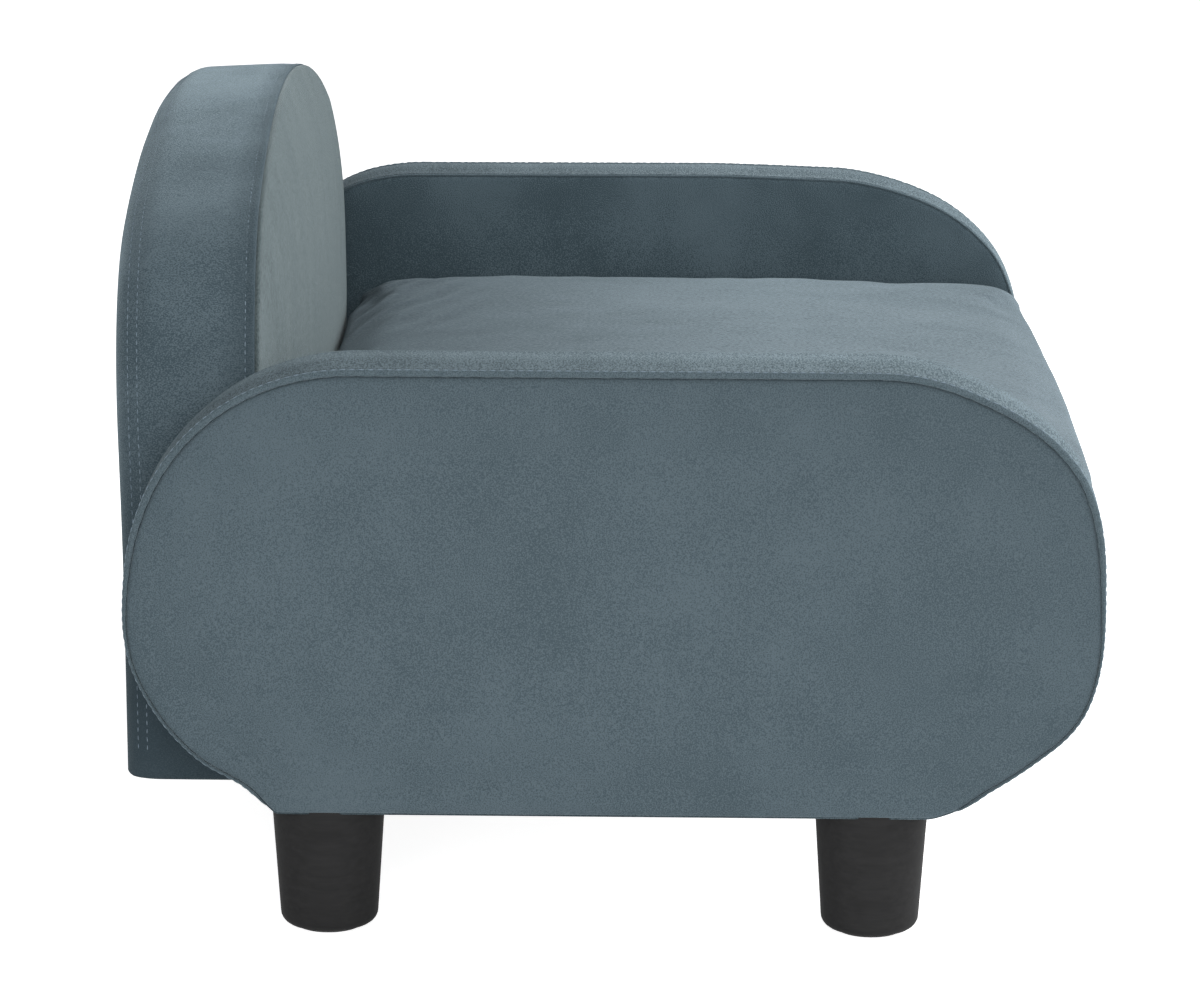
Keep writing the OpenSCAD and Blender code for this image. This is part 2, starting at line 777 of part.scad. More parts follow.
// The cushion's form, with every face drawn in by inset: round low edge, drawn-in side, round top
// edge, then rings that close in over the crown
function cushion_rings(inset) = concat(
        [for (k = [0:low_steps]) let (a = 90 * k / low_steps, r = cushion_low_r - inset)
            at_height(cushion_ring(cushion_low_r - r * sin(a)),
                      cushion_z0 + cushion_low_r - r * cos(a))],
        [for (k = [0:top_steps]) let (a = 90 * k / top_steps, r = cushion_top_r - inset)
            at_height(cushion_ring(cushion_top_r - r * cos(a)),
                      cushion_z0 + cushion_t - cushion_top_r + r * sin(a))],
        [for (k = [1:crown_steps - 1]) let (s = 1 - k / crown_steps)
            at_height([for (p = cushion_ring(cushion_top_r)) cushion_mid + (p - cushion_mid) * s],
                      cushion_z0 + cushion_t - inset + cushion_crown * (1 - s * s))]
    );

module cushion_form(inset) {
    rings = cushion_rings(inset);
    around = len(rings[0]);
    last = len(rings) - 1;
    under = around * len(rings);
    polyhedron(
        points = concat(
            [for (ring = rings, p = ring) p],
            [[cushion_mid[0], cushion_mid[1], cushion_z0 + inset]],
            [[cushion_mid[0], cushion_mid[1], cushion_z0 + cushion_t + cushion_crown - inset]]
        ),
        faces = concat(
            [for (m = [0:last - 1], j = [0:around - 1], upper = [0, 1]) let (
                    p = m * around + j,
                    q = m * around + (j + 1) % around
                ) upper ? [p, p + around, q + around] : [p, q + around, q]],
            [for (j = [0:around - 1]) [under, j, (j + 1) % around]],
            [for (j = [0:around - 1])
                [under + 1, last * around + (j + 1) % around, last * around + j]]
        )
    );
}

// The channel at the rear of the cushion that the zip lies in, grown by extra all round
module zip_channel(extra)
    translate([-zip_len / 2 - hole_gap - extra, zip_y - zip_t, zip_z - zip_w / 2 - hole_gap - extra])
        cube([zip_len + 2 * (hole_gap + extra), cushion_rear_y + overrun - zip_y,
              zip_w + 2 * (hole_gap + extra)]);

module cushion_cover()
    color(velvet) difference() {
        cushion_form(0);
        difference() {
            cushion_form(fabric_t);
            zip_channel(fabric_t);
        }
        zip_channel(0);
    }

module cushion_foam()
    color(foam_colour) difference() {
        cushion_form(pad_inset);
        zip_channel(pad_inset);
    }

module zip_tape()
    color("#46545c") translate([-zip_len / 2, zip_y - zip_t, zip_z - zip_w / 2])
        cube([zip_len, zip_t, zip_w]);

module zip_coil()
    color("#3b474e") translate([coil_short - zip_len / 2, zip_y, zip_z - coil_w / 2])
        cube([zip_len - 2 * coil_short, coil_t, coil_w]);

pull_pin_x = slider_x - slider_len / 2 + lug_t;
pull_pin_y = zip_y + slider_face + slide_gap + pull_eye_r;
lug_z = pull_w / 2 + pull_gap;

module zip_slider() {
    width = coil_w + 2 * (slide_gap + slider_wall);
    color(zinc) {
        difference() {
            translate([slider_x - slider_len / 2, zip_y + slide_gap, zip_z - width / 2])
                cube([slider_len, slider_face - slide_gap, width]);
            translate([slider_x - slider_len / 2 - overrun, zip_y - overrun,
                       zip_z - width / 2 + slider_wall])
                cube([slider_len + 2 * overrun, coil_t + slide_gap + overrun,
                      width - 2 * slider_wall]);
        }
        for (side = [0, 1]) translate([0, 0, zip_z]) mirror([0, 0, side])
            translate([pull_pin_x - lug_t, zip_y + slider_face, lug_z])
                cube([2 * lug_t, pull_pin_y + pull_pin_r - zip_y - slider_face, lug_t]);
        translate([pull_pin_x, pull_pin_y, zip_z - lug_z])
            cylinder(r = pull_pin_r, h = 2 * lug_z);
    }
}

module zip_pull()
    color(zinc) translate([pull_pin_x, pull_pin_y, zip_z - pull_w / 2]) difference() {
        union() {
            cylinder(r = pull_eye_r, h = pull_w);
            translate([0, -pull_t / 2, 0]) cube([pull_len, pull_t, pull_w]);
        }
        translate([0, 0, -overrun])
            cylinder(r = pull_pin_r + pull_gap, h = pull_w + 2 * overrun);
    }

on_side(-1) arm_outer_cover();  // left_arm_outer_cover
on_side(-1) arm_inner_cover();  // left_arm_inner_cover
on_side(-1) arm_gusset();  // left_arm_gusset
on_side(-1) arm_welts();  // left_arm_welts
on_side(-1) arm_outer_pad();  // left_arm_outer_pad
on_side(-1) arm_inner_pad();  // left_arm_inner_pad
on_side(-1) arm_edge_pad();  // left_arm_edge_pad
on_side(-1) arm_outer_board();  // left_arm_outer_board
on_side(-1) arm_inner_board();  // left_arm_inner_board
on_side(-1) arm_edge_strip();  // left_arm_edge_strip
on_side(-1) arm_frame();  // left_arm_frame
on_side(-1) arm_leg_rail();  // left_arm_leg_rail
on_side(1) arm_outer_cover();  // right_arm_outer_cover
on_side(1) arm_inner_cover();  // right_arm_inner_cover
on_side(1) arm_gusset();  // right_arm_gusset
on_side(1) arm_welts();  // right_arm_welts
on_side(1) arm_outer_pad();  // right_arm_outer_pad
on_side(1) arm_inner_pad();  // right_arm_inner_pad
on_side(1) arm_edge_pad();  // right_arm_edge_pad
on_side(1) arm_outer_board();  // right_arm_outer_board
on_side(1) arm_inner_board();  // right_arm_inner_board
on_side(1) arm_edge_strip();  // right_arm_edge_strip
on_side(1) arm_frame();  // right_arm_frame
on_side(1) arm_leg_rail();  // right_arm_leg_rail
leg(-1, leg_y[0]);  // front_left_leg
leg(1, leg_y[0]);  // front_right_leg
leg(-1, leg_y[1]);  // rear_left_leg
leg(1, leg_y[1]);  // rear_right_leg
leg_glides();
leg_studs();
leg_tnuts();
back_front_cover();
back_gusset();
back_rear_cover();
back_front_pad();
back_edge_pad();
back_rear_pad();
back_front_board();
back_rear_board();
back_edge_strip();
back_frame();
base_cover();
base_pad();
base_deck();
base_front_rail();
base_rear_rail();
base_side_rails();
base_battens();
base_dust_cover();
arm_bolts();
back_bolts();
frame_washers();
frame_tnuts();
cushion_cover();
cushion_foam();
zip_tape();
zip_coil();
zip_slider();
zip_pull();
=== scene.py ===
import math

import bpy
from mathutils import Matrix, Vector, noise


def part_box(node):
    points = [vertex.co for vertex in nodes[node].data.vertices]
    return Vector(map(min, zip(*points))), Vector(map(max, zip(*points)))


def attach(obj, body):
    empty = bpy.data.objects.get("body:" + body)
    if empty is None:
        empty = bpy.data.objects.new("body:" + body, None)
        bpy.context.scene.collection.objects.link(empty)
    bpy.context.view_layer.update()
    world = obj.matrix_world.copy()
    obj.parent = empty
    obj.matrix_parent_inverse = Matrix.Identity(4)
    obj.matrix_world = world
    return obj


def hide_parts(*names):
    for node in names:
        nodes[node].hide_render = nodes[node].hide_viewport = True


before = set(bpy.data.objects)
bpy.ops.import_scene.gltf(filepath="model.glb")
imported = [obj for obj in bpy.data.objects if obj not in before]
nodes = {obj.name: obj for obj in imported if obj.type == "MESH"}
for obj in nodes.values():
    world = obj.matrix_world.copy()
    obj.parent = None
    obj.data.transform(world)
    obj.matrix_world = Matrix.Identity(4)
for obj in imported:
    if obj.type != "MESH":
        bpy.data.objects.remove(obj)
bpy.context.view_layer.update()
mm = 0.001
print("frame loaded:", len(nodes), "nodes")


# Modelling helpers

def deselectAll():
    if bpy.context.mode != "OBJECT":
        bpy.ops.object.mode_set(mode="OBJECT")
    bpy.ops.object.select_all(action="DESELECT")


def activate(piece):
    deselectAll()
    piece.select_set(True)
    bpy.context.view_layer.objects.active = piece


def applyModifier(piece, kind, **values):
    activate(piece)
    modifier = piece.modifiers.new(kind.lower(), kind)
    for key, value in values.items():
        setattr(modifier, key, value)
    bpy.ops.object.modifier_apply(modifier=modifier.name)


def closeAndSmooth(piece):  # merges what meets, turns faces outwards and shades smooth
    activate(piece)
    bpy.ops.object.mode_set(mode="EDIT")
    bpy.ops.mesh.select_all(action="SELECT")
    bpy.ops.mesh.remove_doubles(threshold=0.01 * mm)
    bpy.ops.mesh.normals_make_consistent(inside=False)
    bpy.ops.object.mode_set(mode="OBJECT")
    bpy.ops.object.shade_smooth()


def sewnSheet(name, columns, rows, place):  # a grid of cloth: place(i, j) gives each corner
    deselectAll()
    bpy.ops.mesh.primitive_grid_add(x_subdivisions=columns, y_subdivisions=rows, size=1)
    piece = bpy.context.object
    piece.name = piece.data.name = name
    for vertex in piece.data.vertices:
        i = round((vertex.co.x + 0.5) * columns)
        j = round((vertex.co.y + 0.5) * rows)
        vertex.co = place(i, j)
    closeAndSmooth(piece)
    return piece


def joinCopies(name, copies):  # one piece out of many small ones
    deselectAll()
    for copy in copies:
        copy.select_set(True)
    bpy.context.view_layer.objects.active = copies[0]
    bpy.ops.object.join()
    piece = bpy.context.object
    piece.name = piece.data.name = name
    return piece


def arcPoints(centre, radius, start, end, steps):
    found = []
    for k in range(steps + 1):
        angle = math.radians(start + (end - start) * k / steps)
        found.append((centre[0] + radius * math.cos(angle), centre[1] + radius * math.sin(angle)))
    return found


def evenOutline(corners, count, soften):  # closed, evenly spaced and softened, with its normals
    step = 0.5 * mm
    dense = []
    for k, (a0, b0) in enumerate(corners):
        a1, b1 = corners[(k + 1) % len(corners)]
        parts = max(1, round(math.hypot(a1 - a0, b1 - b0) / step))
        dense += [(a0 + (a1 - a0) * t / parts, b0 + (b1 - b0) * t / parts) for t in range(parts)]
    reach = max(1, round(soften / step))
    total = len(dense)
    outline = []
    for k in range(count):
        middle = round(k * total / count)
        near = [dense[(middle + d) % total] for d in range(-reach, reach + 1)]
        outline.append((sum(p[0] for p in near) / len(near), sum(p[1] for p in near) / len(near)))
    withNormals = []
    for k, (a, b) in enumerate(outline):
        before, after = outline[k - 1], outline[(k + 1) % count]
        da, db = after[0] - before[0], after[1] - before[1]
        length = math.hypot(da, db) or 1
        withNormals.append((a, b, -db / length, da / length))
    return withNormals


def smoothStep(low, high, value):  # rises from 0 at low to 1 at high, or falls where high is less
    t = min(1, max(0, (value - low) / (high - low)))
    return t * t * (3 - 2 * t)


def lengths(**values):  # from mm, one by one or in pairs
    return {key: tuple(part * mm for part in value) if isinstance(value, tuple) else value * mm
            for key, value in values.items()}


def rumple(point, size, seed=0):  # smooth unevenness from -1 to 1 with bumps about size apart
    return noise.noise(Vector(point) / size + Vector((seed * 7.3, seed * 3.1, seed * 5.7)))


def clothLift(point, distance, slow, fine, seeds):  # uneven off a seam, puckered along it
    height, size, near, far = slow
    grown = smoothStep(near * mm, far * mm, distance)
    lift = height * mm * rumple(point, size * mm, seeds[0]) * grown
    height, size, near, far = fine
    grown = smoothStep(near * mm, far * mm, distance)
    return lift + height * mm * rumple(point, size * mm, seeds[1]) * (1 - grown)


# Materials

def emptyTree(owner, kind):  # the owner's nodes, with nothing but an output
    owner.use_nodes = True
    tree = owner.node_tree
    tree.nodes.clear()
    return tree, tree.nodes.new(kind)


def newMaterial(name):
    material = bpy.data.materials.new(name)
    tree, output = emptyTree(material, "ShaderNodeOutputMaterial")
    shader = tree.nodes.new("ShaderNodeBsdfPrincipled")
    tree.links.new(shader.outputs[0], output.inputs[0])
    return material, tree, shader


def newGroup(name, amounts, extra=()):  # takes a place, two colours and amounts, gives effects
    group = bpy.data.node_groups.new(name, "ShaderNodeTree")
    inputs = [("Vector", "Vector"), ("Dark", "Color"), ("Light", "Color")]
    inputs += [(label, "Float") for label in amounts]
    outputs = [("Colour", "Color"), ("Height", "Float")] + [(label, "Float") for label in extra]
    for way, sockets in (("INPUT", inputs), ("OUTPUT", outputs)):
        for label, kind in sockets:
            group.interface.new_socket(label, in_out=way, socket_type="NodeSocket" + kind)
    return group, group.nodes.new("NodeGroupInput"), group.nodes.new("NodeGroupOutput")


def feed(tree, node, values):  # sets each input, or links it to another node's output
    for key, value in values.items():
        if isinstance(value, (int, float, tuple)):
            node.inputs[key].default_value = value
        else:
            tree.links.new(value, node.inputs[key])


def addMath(tree, operation, first, second, clamp=False):
    node = tree.nodes.new("ShaderNodeMath")
    node.operation = operation
    node.use_clamp = clamp
    feed(tree, node, {0: first, 1: second})
    return node.outputs[0]


def addBlend(tree, first, share, second):  # a share of one value and the rest of another
    return addMath(tree, "ADD", addMath(tree, "MULTIPLY", first, share),
                   addMath(tree, "MULTIPLY", second, 1 - share))


def addNoise(tree, vector, scale, detail, roughness=0.5):
    node = tree.nodes.new("ShaderNodeTexNoise")
    feed(tree, node, {"Vector": vector, "Scale": scale, "Detail": detail, "Roughness": roughness})
    return node.outputs["Fac"]


def addMapping(tree, vector, scale):
    node = tree.nodes.new("ShaderNodeMapping")
    feed(tree, node, {"Vector": vector, "Scale": scale})
    return node.outputs["Vector"]


def addRamp(tree, value, low, high):
    node = tree.nodes.new("ShaderNodeMapRange")
    feed(tree, node, {"Value": value, "From Min": low, "From Max": high})
    return node.outputs["Result"]


def addMix(tree, factor, first, second):
    node = tree.nodes.new("ShaderNodeMix")
    node.data_type = "RGBA"
    feed(tree, node, {0: factor, 6: first, 7: second})
    return node.outputs[2]


pileLook = {
    # detail, roughness and the range that is spread from dark to light
    "Grain": (2, 0.6, 0.34, 0.66), "Clouds": (4, 0.6, 0.32, 0.68), "Smears": (3, 0.55, 0.36, 0.64),
    "cloudShare": 0.42, "grainWeight": 1.6, "grainHeight": 0.75, "roughness": 0.92,
    "specular": 0.12, "sheenRoughness": 0.42, "bump": 0.35, "bumpDepth": 0.6 * mm, "shadow": 0.7,
}
weaveLook = {"uneven": 160, "detail": 3}
timberLook = {"streakDraw": 0.06, "fineDraw": 0.1, "fine": 600, "streakShare": 0.7,
              "contrast": (0.35, 0.65)}


def velvetGroup():  # short pile: fine grain, small clouds and long smears where a hand brushed it
    look = pileLook
    labels, layers = ("Grain", "Clouds", "Smears"), {}
    group, start, end = newGroup("velvetPile", (*labels, "Brushed"), ("Shade",))
    for label in labels:
        detail, roughness, low, high = look[label]
        pattern = addNoise(group, start.outputs["Vector"], start.outputs[label], detail, roughness)
        layers[label] = addRamp(group, pattern, low, high)
    soft = addBlend(group, layers["Clouds"], look["cloudShare"], layers["Smears"])
    soft = addMath(group, "SUBTRACT", soft, 0.5)
    soft = addMath(group, "MULTIPLY", soft, start.outputs["Brushed"])
    fine = addMath(group, "SUBTRACT", layers["Grain"], 0.5)
    fine = addMath(group, "MULTIPLY", fine, look["grainWeight"])
    shade = addMath(group, "ADD", addMath(group, "ADD", soft, fine), 0.5, clamp=True)
    feed(group, end, {
        "Colour": addMix(group, shade, start.outputs["Dark"], start.outputs["Light"]),
        "Height": addBlend(group, layers["Grain"], look["grainHeight"], layers["Clouds"]),
        "Shade": shade})
    return group


def clothGroup():  # plain woven cloth: threads that cross over and under
    group, start, end = newGroup("plainWeave", ("Threads",))
    scaled = group.nodes.new("ShaderNodeVectorMath")
    scaled.operation = "SCALE"
    feed(group, scaled, {0: start.outputs["Vector"], "Scale": start.outputs["Threads"]})
    parts = group.nodes.new("ShaderNodeSeparateXYZ")
    feed(group, parts, {0: scaled.outputs[0]})
    across = addMath(group, "ABSOLUTE", addMath(group, "SINE", parts.outputs["X"], 0), 0)
    along = addMath(group, "ABSOLUTE", addMath(group, "SINE", parts.outputs["Y"], 0), 0)
    uneven = addNoise(group, start.outputs["Vector"], weaveLook["uneven"], weaveLook["detail"])
    height = addMath(group, "MULTIPLY", addMath(group, "MULTIPLY", across, along),
                     addMath(group, "ADD", uneven, 0.5))
    colour = addMix(group, height, start.outputs["Dark"], start.outputs["Light"])
    feed(group, end, {"Colour": colour, "Height": height})
    return group


def grainGroup():  # sawn timber and plywood: long streaks along one way
    look = timberLook
    group, start, end = newGroup("timberGrain", ("Streaks",))
    vector = start.outputs["Vector"]
    streaks = addNoise(group, addMapping(group, vector, (1, look["streakDraw"], 1)),
                       start.outputs["Streaks"], 6, 0.6)
    fine = addNoise(group, addMapping(group, vector, (1, look["fineDraw"], 1)), look["fine"], 2)
    both = addBlend(group, streaks, look["streakShare"], fine)
    shade = addRamp(group, both, *look["contrast"])
    colour = addMix(group, shade, start.outputs["Dark"], start.outputs["Light"])
    feed(group, end, {"Colour": colour, "Height": both})
    return group


def useGroup(tree, group, vector, **values):
    node = tree.nodes.new("ShaderNodeGroup")
    node.node_tree = group
    feed(tree, node, {"Vector": vector, **values})
    return node


def addBump(tree, shader, height, strength, distance):
    bump = tree.nodes.new("ShaderNodeBump")
    feed(tree, bump, {"Strength": strength, "Distance": distance, "Height": height})
    feed(tree, shader, {"Normal": bump.outputs[0]})


velvetPile = velvetGroup()
plainWeave = clothGroup()
timberGrain = grainGroup()


def velvetMaterial(name, dark, light, stretch=(1, 1, 1), brushed=0.5, clouds=26.0, smears=5.0,
                   sheen=0.5, sheenTint=(0.62, 0.78, 0.86, 1), grain=1600.0, broken=0.4, shaded=()):
    look = pileLook
    material, tree, shader = newMaterial(name)
    place = tree.nodes.new("ShaderNodeTexCoord").outputs["Object"]
    pile = useGroup(tree, velvetPile, addMapping(tree, place, stretch), Dark=(*dark, 1),
                    Light=(*light, 1), Brushed=brushed, Clouds=clouds, Smears=smears, Grain=grain)
    colour = pile.outputs["Colour"]
    # light grains shine more than dark ones, by the broken share
    pileSheen = addMath(tree, "MULTIPLY", pile.outputs["Shade"], sheen * broken)
    pileSheen = addMath(tree, "ADD", pileSheen, sheen * (1 - broken / 2))
    parts = tree.nodes.new("ShaderNodeSeparateXYZ")
    feed(tree, parts, {0: place})
    shadow = tuple(c * look["shadow"] for c in dark) + (1,)
    for axis, start, full, share in shaded:  # painted shade: from start to full it grows darker and duller
        strip = addMath(tree, "MULTIPLY", addRamp(tree, parts.outputs[axis], start, full), share)
        colour = addMix(tree, strip, colour, shadow)
        pileSheen = addMath(tree, "MULTIPLY", pileSheen, addMath(tree, "SUBTRACT", 1.0, strip))
    feed(tree, shader, {"Base Color": colour, "Roughness": look["roughness"],
                        "Specular IOR Level": look["specular"], "Sheen Weight": pileSheen,
                        "Sheen Roughness": look["sheenRoughness"], "Sheen Tint": sheenTint})
    addBump(tree, shader, pile.outputs["Height"], look["bump"], look["bumpDepth"])
    return material


def plainMaterial(name, group, dark, light, roughness, stretch=(1, 1, 1), metallic=0.0, bump=0.2,
                  depth=0.3 * mm, specular=0.4, **values):
    material, tree, shader = newMaterial(name)
    place = tree.nodes.new("ShaderNodeTexCoord").outputs["Object"]
    surface = useGroup(tree, group, addMapping(tree, place, stretch), Dark=(*dark, 1),
                       Light=(*light, 1), **values)
    feed(tree, shader, {"Base Color": surface.outputs["Colour"], "Roughness": roughness,
                        "Metallic": metallic, "Specular IOR Level": specular})
    addBump(tree, shader, surface.outputs["Height"], bump, depth)
    return material


# the shaded strips in these velvets are painted shade, darker where less light falls
armVelvet = velvetMaterial(
    "armVelvet", (0.062, 0.089, 0.105), (0.11, 0.147, 0.17), brushed=0.8,
    shaded=(("Z", 0.17, 0.29, 0.16), ("Y", 0.02, -0.24, 0.14)))
# a darker copy of the arm velvet: painted shade for the inner faces and the base front
armInnerShadedVelvet = velvetMaterial(
    "armInnerShadedVelvet", (0.05, 0.076, 0.091), (0.102, 0.143, 0.167), brushed=1.5, clouds=15.0,
    smears=7.0, sheen=0.42, shaded=(("Y", 0, -0.2, 0.3),))
bandVelvet = velvetMaterial(
    "bandVelvet", (0.039, 0.059, 0.071), (0.092, 0.125, 0.143), stretch=(0.35, 1, 1), brushed=0.9,
    sheen=0.34, grain=1100.0, broken=0.8, shaded=(("Y", -0.17, 0.23, 0.58),))
backVelvet = velvetMaterial(
    "backVelvet", (0.05, 0.075, 0.091), (0.107, 0.145, 0.168), stretch=(1, 0.7, 1), brushed=1.4,
    clouds=22.0, smears=7.5, sheen=0.45, shaded=(("Y", 0.199, 0.18, 0.6), ("Z", 0.25, 0.13, 0.72)))
backFrontVelvet = velvetMaterial(
    "backFrontVelvet", (0.048, 0.067, 0.072), (0.09, 0.115, 0.121), stretch=(1, 1, 0.2),
    brushed=1.3, clouds=60.0, broken=0.2, sheenTint=(0.68, 0.8, 0.83, 1))
cushionVelvet = velvetMaterial(
    "cushionVelvet", (0.06, 0.081, 0.095), (0.124, 0.154, 0.175), stretch=(0.6, 0.3, 1),
    brushed=1.1, smears=8.0, sheen=0.4, broken=0.15, shaded=(("Y", -0.1, 0.16, 0.6),))
weltVelvet = velvetMaterial(
    "weltVelvet", (0.06, 0.086, 0.101), (0.112, 0.15, 0.171), brushed=0.3, sheen=0.4)
threadCloth = plainMaterial(
    "threadCloth", plainWeave, (0.13, 0.18, 0.225), (0.23, 0.3, 0.36), 0.7, Threads=9000.0,
    bump=0.3)
dustCloth = plainMaterial(
    "dustCloth", plainWeave, (0.006, 0.006, 0.007), (0.03, 0.03, 0.032), 0.9, Threads=2600.0,
    bump=0.6)
tapeCloth = plainMaterial(
    "tapeCloth", plainWeave, (0.03, 0.045, 0.055), (0.075, 0.105, 0.125), 0.85, Threads=5200.0,
    bump=0.6, stretch=(1, 0, 1))
legBlack = plainMaterial(
    "legBlack", timberGrain, (0.025, 0.025, 0.0255), (0.032, 0.032, 0.0325), 0.6, Streaks=300.0,
    bump=0.08, depth=0.2 * mm, specular=0.03)
glidePlastic = plainMaterial(
    "glidePlastic", timberGrain, (0.03, 0.03, 0.03), (0.06, 0.06, 0.06), 0.6, Streaks=300.0)
softwoodBoard = plainMaterial(
    "softwoodBoard", timberGrain, (0.42, 0.27, 0.12), (0.7, 0.52, 0.28), 0.7, Streaks=45.0)
plywoodBoard = plainMaterial(
    "plywoodBoard", timberGrain, (0.36, 0.23, 0.11), (0.6, 0.43, 0.23), 0.65, Streaks=30.0)
hardboardSheet = plainMaterial(
    "hardboardSheet", timberGrain, (0.11, 0.06, 0.03), (0.2, 0.12, 0.06), 0.6, Streaks=220.0)
foamBlock = plainMaterial(
    "foamBlock", timberGrain, (0.62, 0.55, 0.3), (0.8, 0.74, 0.48), 0.95, Streaks=700.0,
    stretch=(1, 16, 1))
zincMetal = plainMaterial(
    "zincMetal", timberGrain, (0.45, 0.46, 0.48), (0.66, 0.67, 0.7), 0.32, metallic=1.0,
    Streaks=900.0, bump=0.05)

nodeFinishes = {
    "leg_glides": glidePlastic, "base_dust_cover": dustCloth, "zip_tape": tapeCloth,
    "zip_coil": tapeCloth, "base_deck": plywoodBoard, "base_battens": softwoodBoard,
    "cushion_foam": foamBlock,
}
for name in ("zip_slider", "zip_pull", "leg_studs", "leg_tnuts", "arm_bolts", "back_bolts",
             "frame_washers", "frame_tnuts"):
    nodeFinishes[name] = zincMetal
finishEndings = {
    "_leg": legBlack, "_pad": foamBlock, "_board": plywoodBoard, "_edge_strip": hardboardSheet,
    "_frame": softwoodBoard, "_rail": softwoodBoard, "_rails": softwoodBoard, "_cover": armVelvet,
    "_gusset": bandVelvet, "_welts": weltVelvet,
}
for name, part in nodes.items():
    byEnding = [material for ending, material in finishEndings.items() if name.endswith(ending)]
    part.data.materials.clear()
    part.data.materials.append(nodeFinishes.get(name) or byEnding[0])
print("materials made")


def finishPiece(piece, material, replaced=(), body="sofa"):
    piece.data.materials.clear()
    piece.data.materials.append(material)
    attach(piece, body)
    if replaced:
        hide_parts(*replaced)
    return piece


# Arms: each is two padded panels, a padded band between them and a welt along each seam

# how far the padded ends stand outside the arcs: degrees above the middle, then mm
armFrontFoot = [(-66, -3.7), (-56, -3.2), (-47, -1.2), (-40, 1.4)]
armRearSide = [
    (-66, 0.4), (-62, -2.4), (-58, -4.2), (-52, -3.6), (-45, -0.4), (-38, 1.4), (-28, 3.2),
    (-17, 4.4), (-9, 3.6), (0, 1.8), (10, 1.2), (30, 1.5), (50, 1.5)]
armForm = lengths(
    heel=12, soften=3.5, frontFoot=159, panelThick=9.8, bandThick=6.9, outerPuff=1.6, innerPuff=0.2,
    puffOver=(4, 50), bandCrown=1.3, crownOver=(3, 28), cornerInset=4.2, middle=110, half=112,
    skin=2, leftTilt=-1.2, rightTilt=1.6, footDrop=1.8, weltRadius=1.45, weltIn=1.2,
    stitchPitch=4.6, stitchLong=3, stitchThick=0.62, stitchInset=-0.2, stitchDepth=0.6,
    # heights from the arm's middle
    tiltOver=(0, 100), seamOver=(-40, 50), footOver=(-98, -108), flatOver=(-112, -100),
    weltFoot=-109.5, stitchFoot=-105
) | {
    "columns": 420, "faceRows": 24, "bandRows": 12, "outerSeam": 1, "innerSeam": 0.5,
    "lowSeam": 0.45, "topSeam": 1.25, "innerWeltIn": 0.85, "weltSides": 12, "weltWave": (0.07, 1.9),
    "weltKnots": (0.06, 0.31), "stitchLean": 0.8,
    # bumps: height, size and the two distances from the seam, in mm
    "outerUneven": (0.35, 70, 4, 30), "innerUneven": (0.14, 70, 4, 30),
    "facePucker": (0.22, 12, 3, 16), "bandUneven": (0.3, 35, 3, 12),
    "bandPucker": (0.22, 11, 3, 12),
    # sections through the seams: how far in from the outline, then how deep, in mm
    "hidden": 4, "bandUnder": 4,
    "faceSeam": [(2.95, 5), (2.9, 2.6), (3.1, 1.9), (3.5, 1.35), (4.2, 0.9), (5.2, 0.55),
                 (6.6, 0.28), (8.4, 0.1)],
    "bandSeam": [(2.2, 2.35), (1.25, 2.4), (0.62, 2.75), (0.25, 3.4), (0.06, 4.4), (0, 6)],
    "leftFront": armFrontFoot + [
        (-35, 4), (-29, 6), (-23, 5.8), (-14, 3.6), (-5, 1.2), (3, 0.6), (12, 2), (24, 4.9),
        (32, 6), (42, 4.8), (52, 2.5), (62, 0.6), (76, 0), (90, 0)],
    "leftRear": armRearSide + [(64, 1), (78, 0.3), (90, 0)],
    "rightFront": armFrontFoot + [
        (-34, 4), (-28, 5.6), (-20, 5.4), (-8, 4.6), (4, 5.6), (18, 6.4), (31, 6.4), (40, 4.1),
        (49, 1.6), (60, -1.6), (69, -3.4), (78, -4.1), (90, -3.5)],
    "rightRear": armRearSide + [(61, 1.3), (70, 0.6), (78, -0.6), (90, -1.8)],
    # and the tops: mm along, then mm above
    "leftTop": [(-60, 0), (0, 0), (60, 0)], "rightTop": [(-85, -2), (-55, -1.2), (60, -1.5)],
}


def between(table, value):  # smooth curve through a table of (place, amount) pairs
    if value <= table[0][0]:
        return table[0][1]
    for k in range(len(table) - 1):
        (x0, y0), (x1, y1) = table[k], table[k + 1]
        if value <= x1:
            before, after = table[max(0, k - 1)], table[min(len(table) - 1, k + 2)]
            rise0 = (y1 - before[1]) / (x1 - before[0]) * (x1 - x0)
            rise1 = (after[1] - y0) / (after[0] - x0) * (x1 - x0)
            t = (value - x0) / (x1 - x0)
            return (y0 * (1 + 2 * t) * (1 - t) ** 2 + rise0 * t * (1 - t) ** 2
                    + y1 * t * t * (3 - 2 * t) - rise1 * t * t * (1 - t))
    return table[-1][1]


def armCorners(hand):
    low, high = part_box("left_arm_gusset")
    topR = (high.z - low.z) / 2
    lowR = topR + armForm["heel"]
    topRun = (high.y - low.y) / 2 - topR
    lowRun = (high.y - low.y) / 2 - lowR
    heel = math.degrees(math.asin(topR / lowR))
    midY, midZ = (low.y + high.y) / 2, (low.z + high.z) / 2
    footY = lowRun + lowR * math.cos(math.radians(heel))
    ends = {}
    for end in ("Front", "Rear"):
        points = []
        for angle in range(-round(heel), 91, 2):
            run, radius = (lowRun, lowR) if angle < 0 else (topRun, topR)
            out = radius + between(armForm[hand + end], angle) * mm
            turn = math.radians(angle)
            points.append((run + out * math.cos(turn), out * math.sin(turn)))
        ends[end] = points
    front = [(-a, b) for a, b in ends["Front"]]
    rear = list(reversed(ends["Rear"]))
    top = [(place * mm, topR + out * mm) for place, out in armForm[hand + "Top"]]
    corners = [(0, -topR), (-armForm["frontFoot"], -topR)] + front + top + rear + [(footY, -topR)]
    return [(midY + a, midZ + b) for a, b in corners], (midY, midZ, topRun)


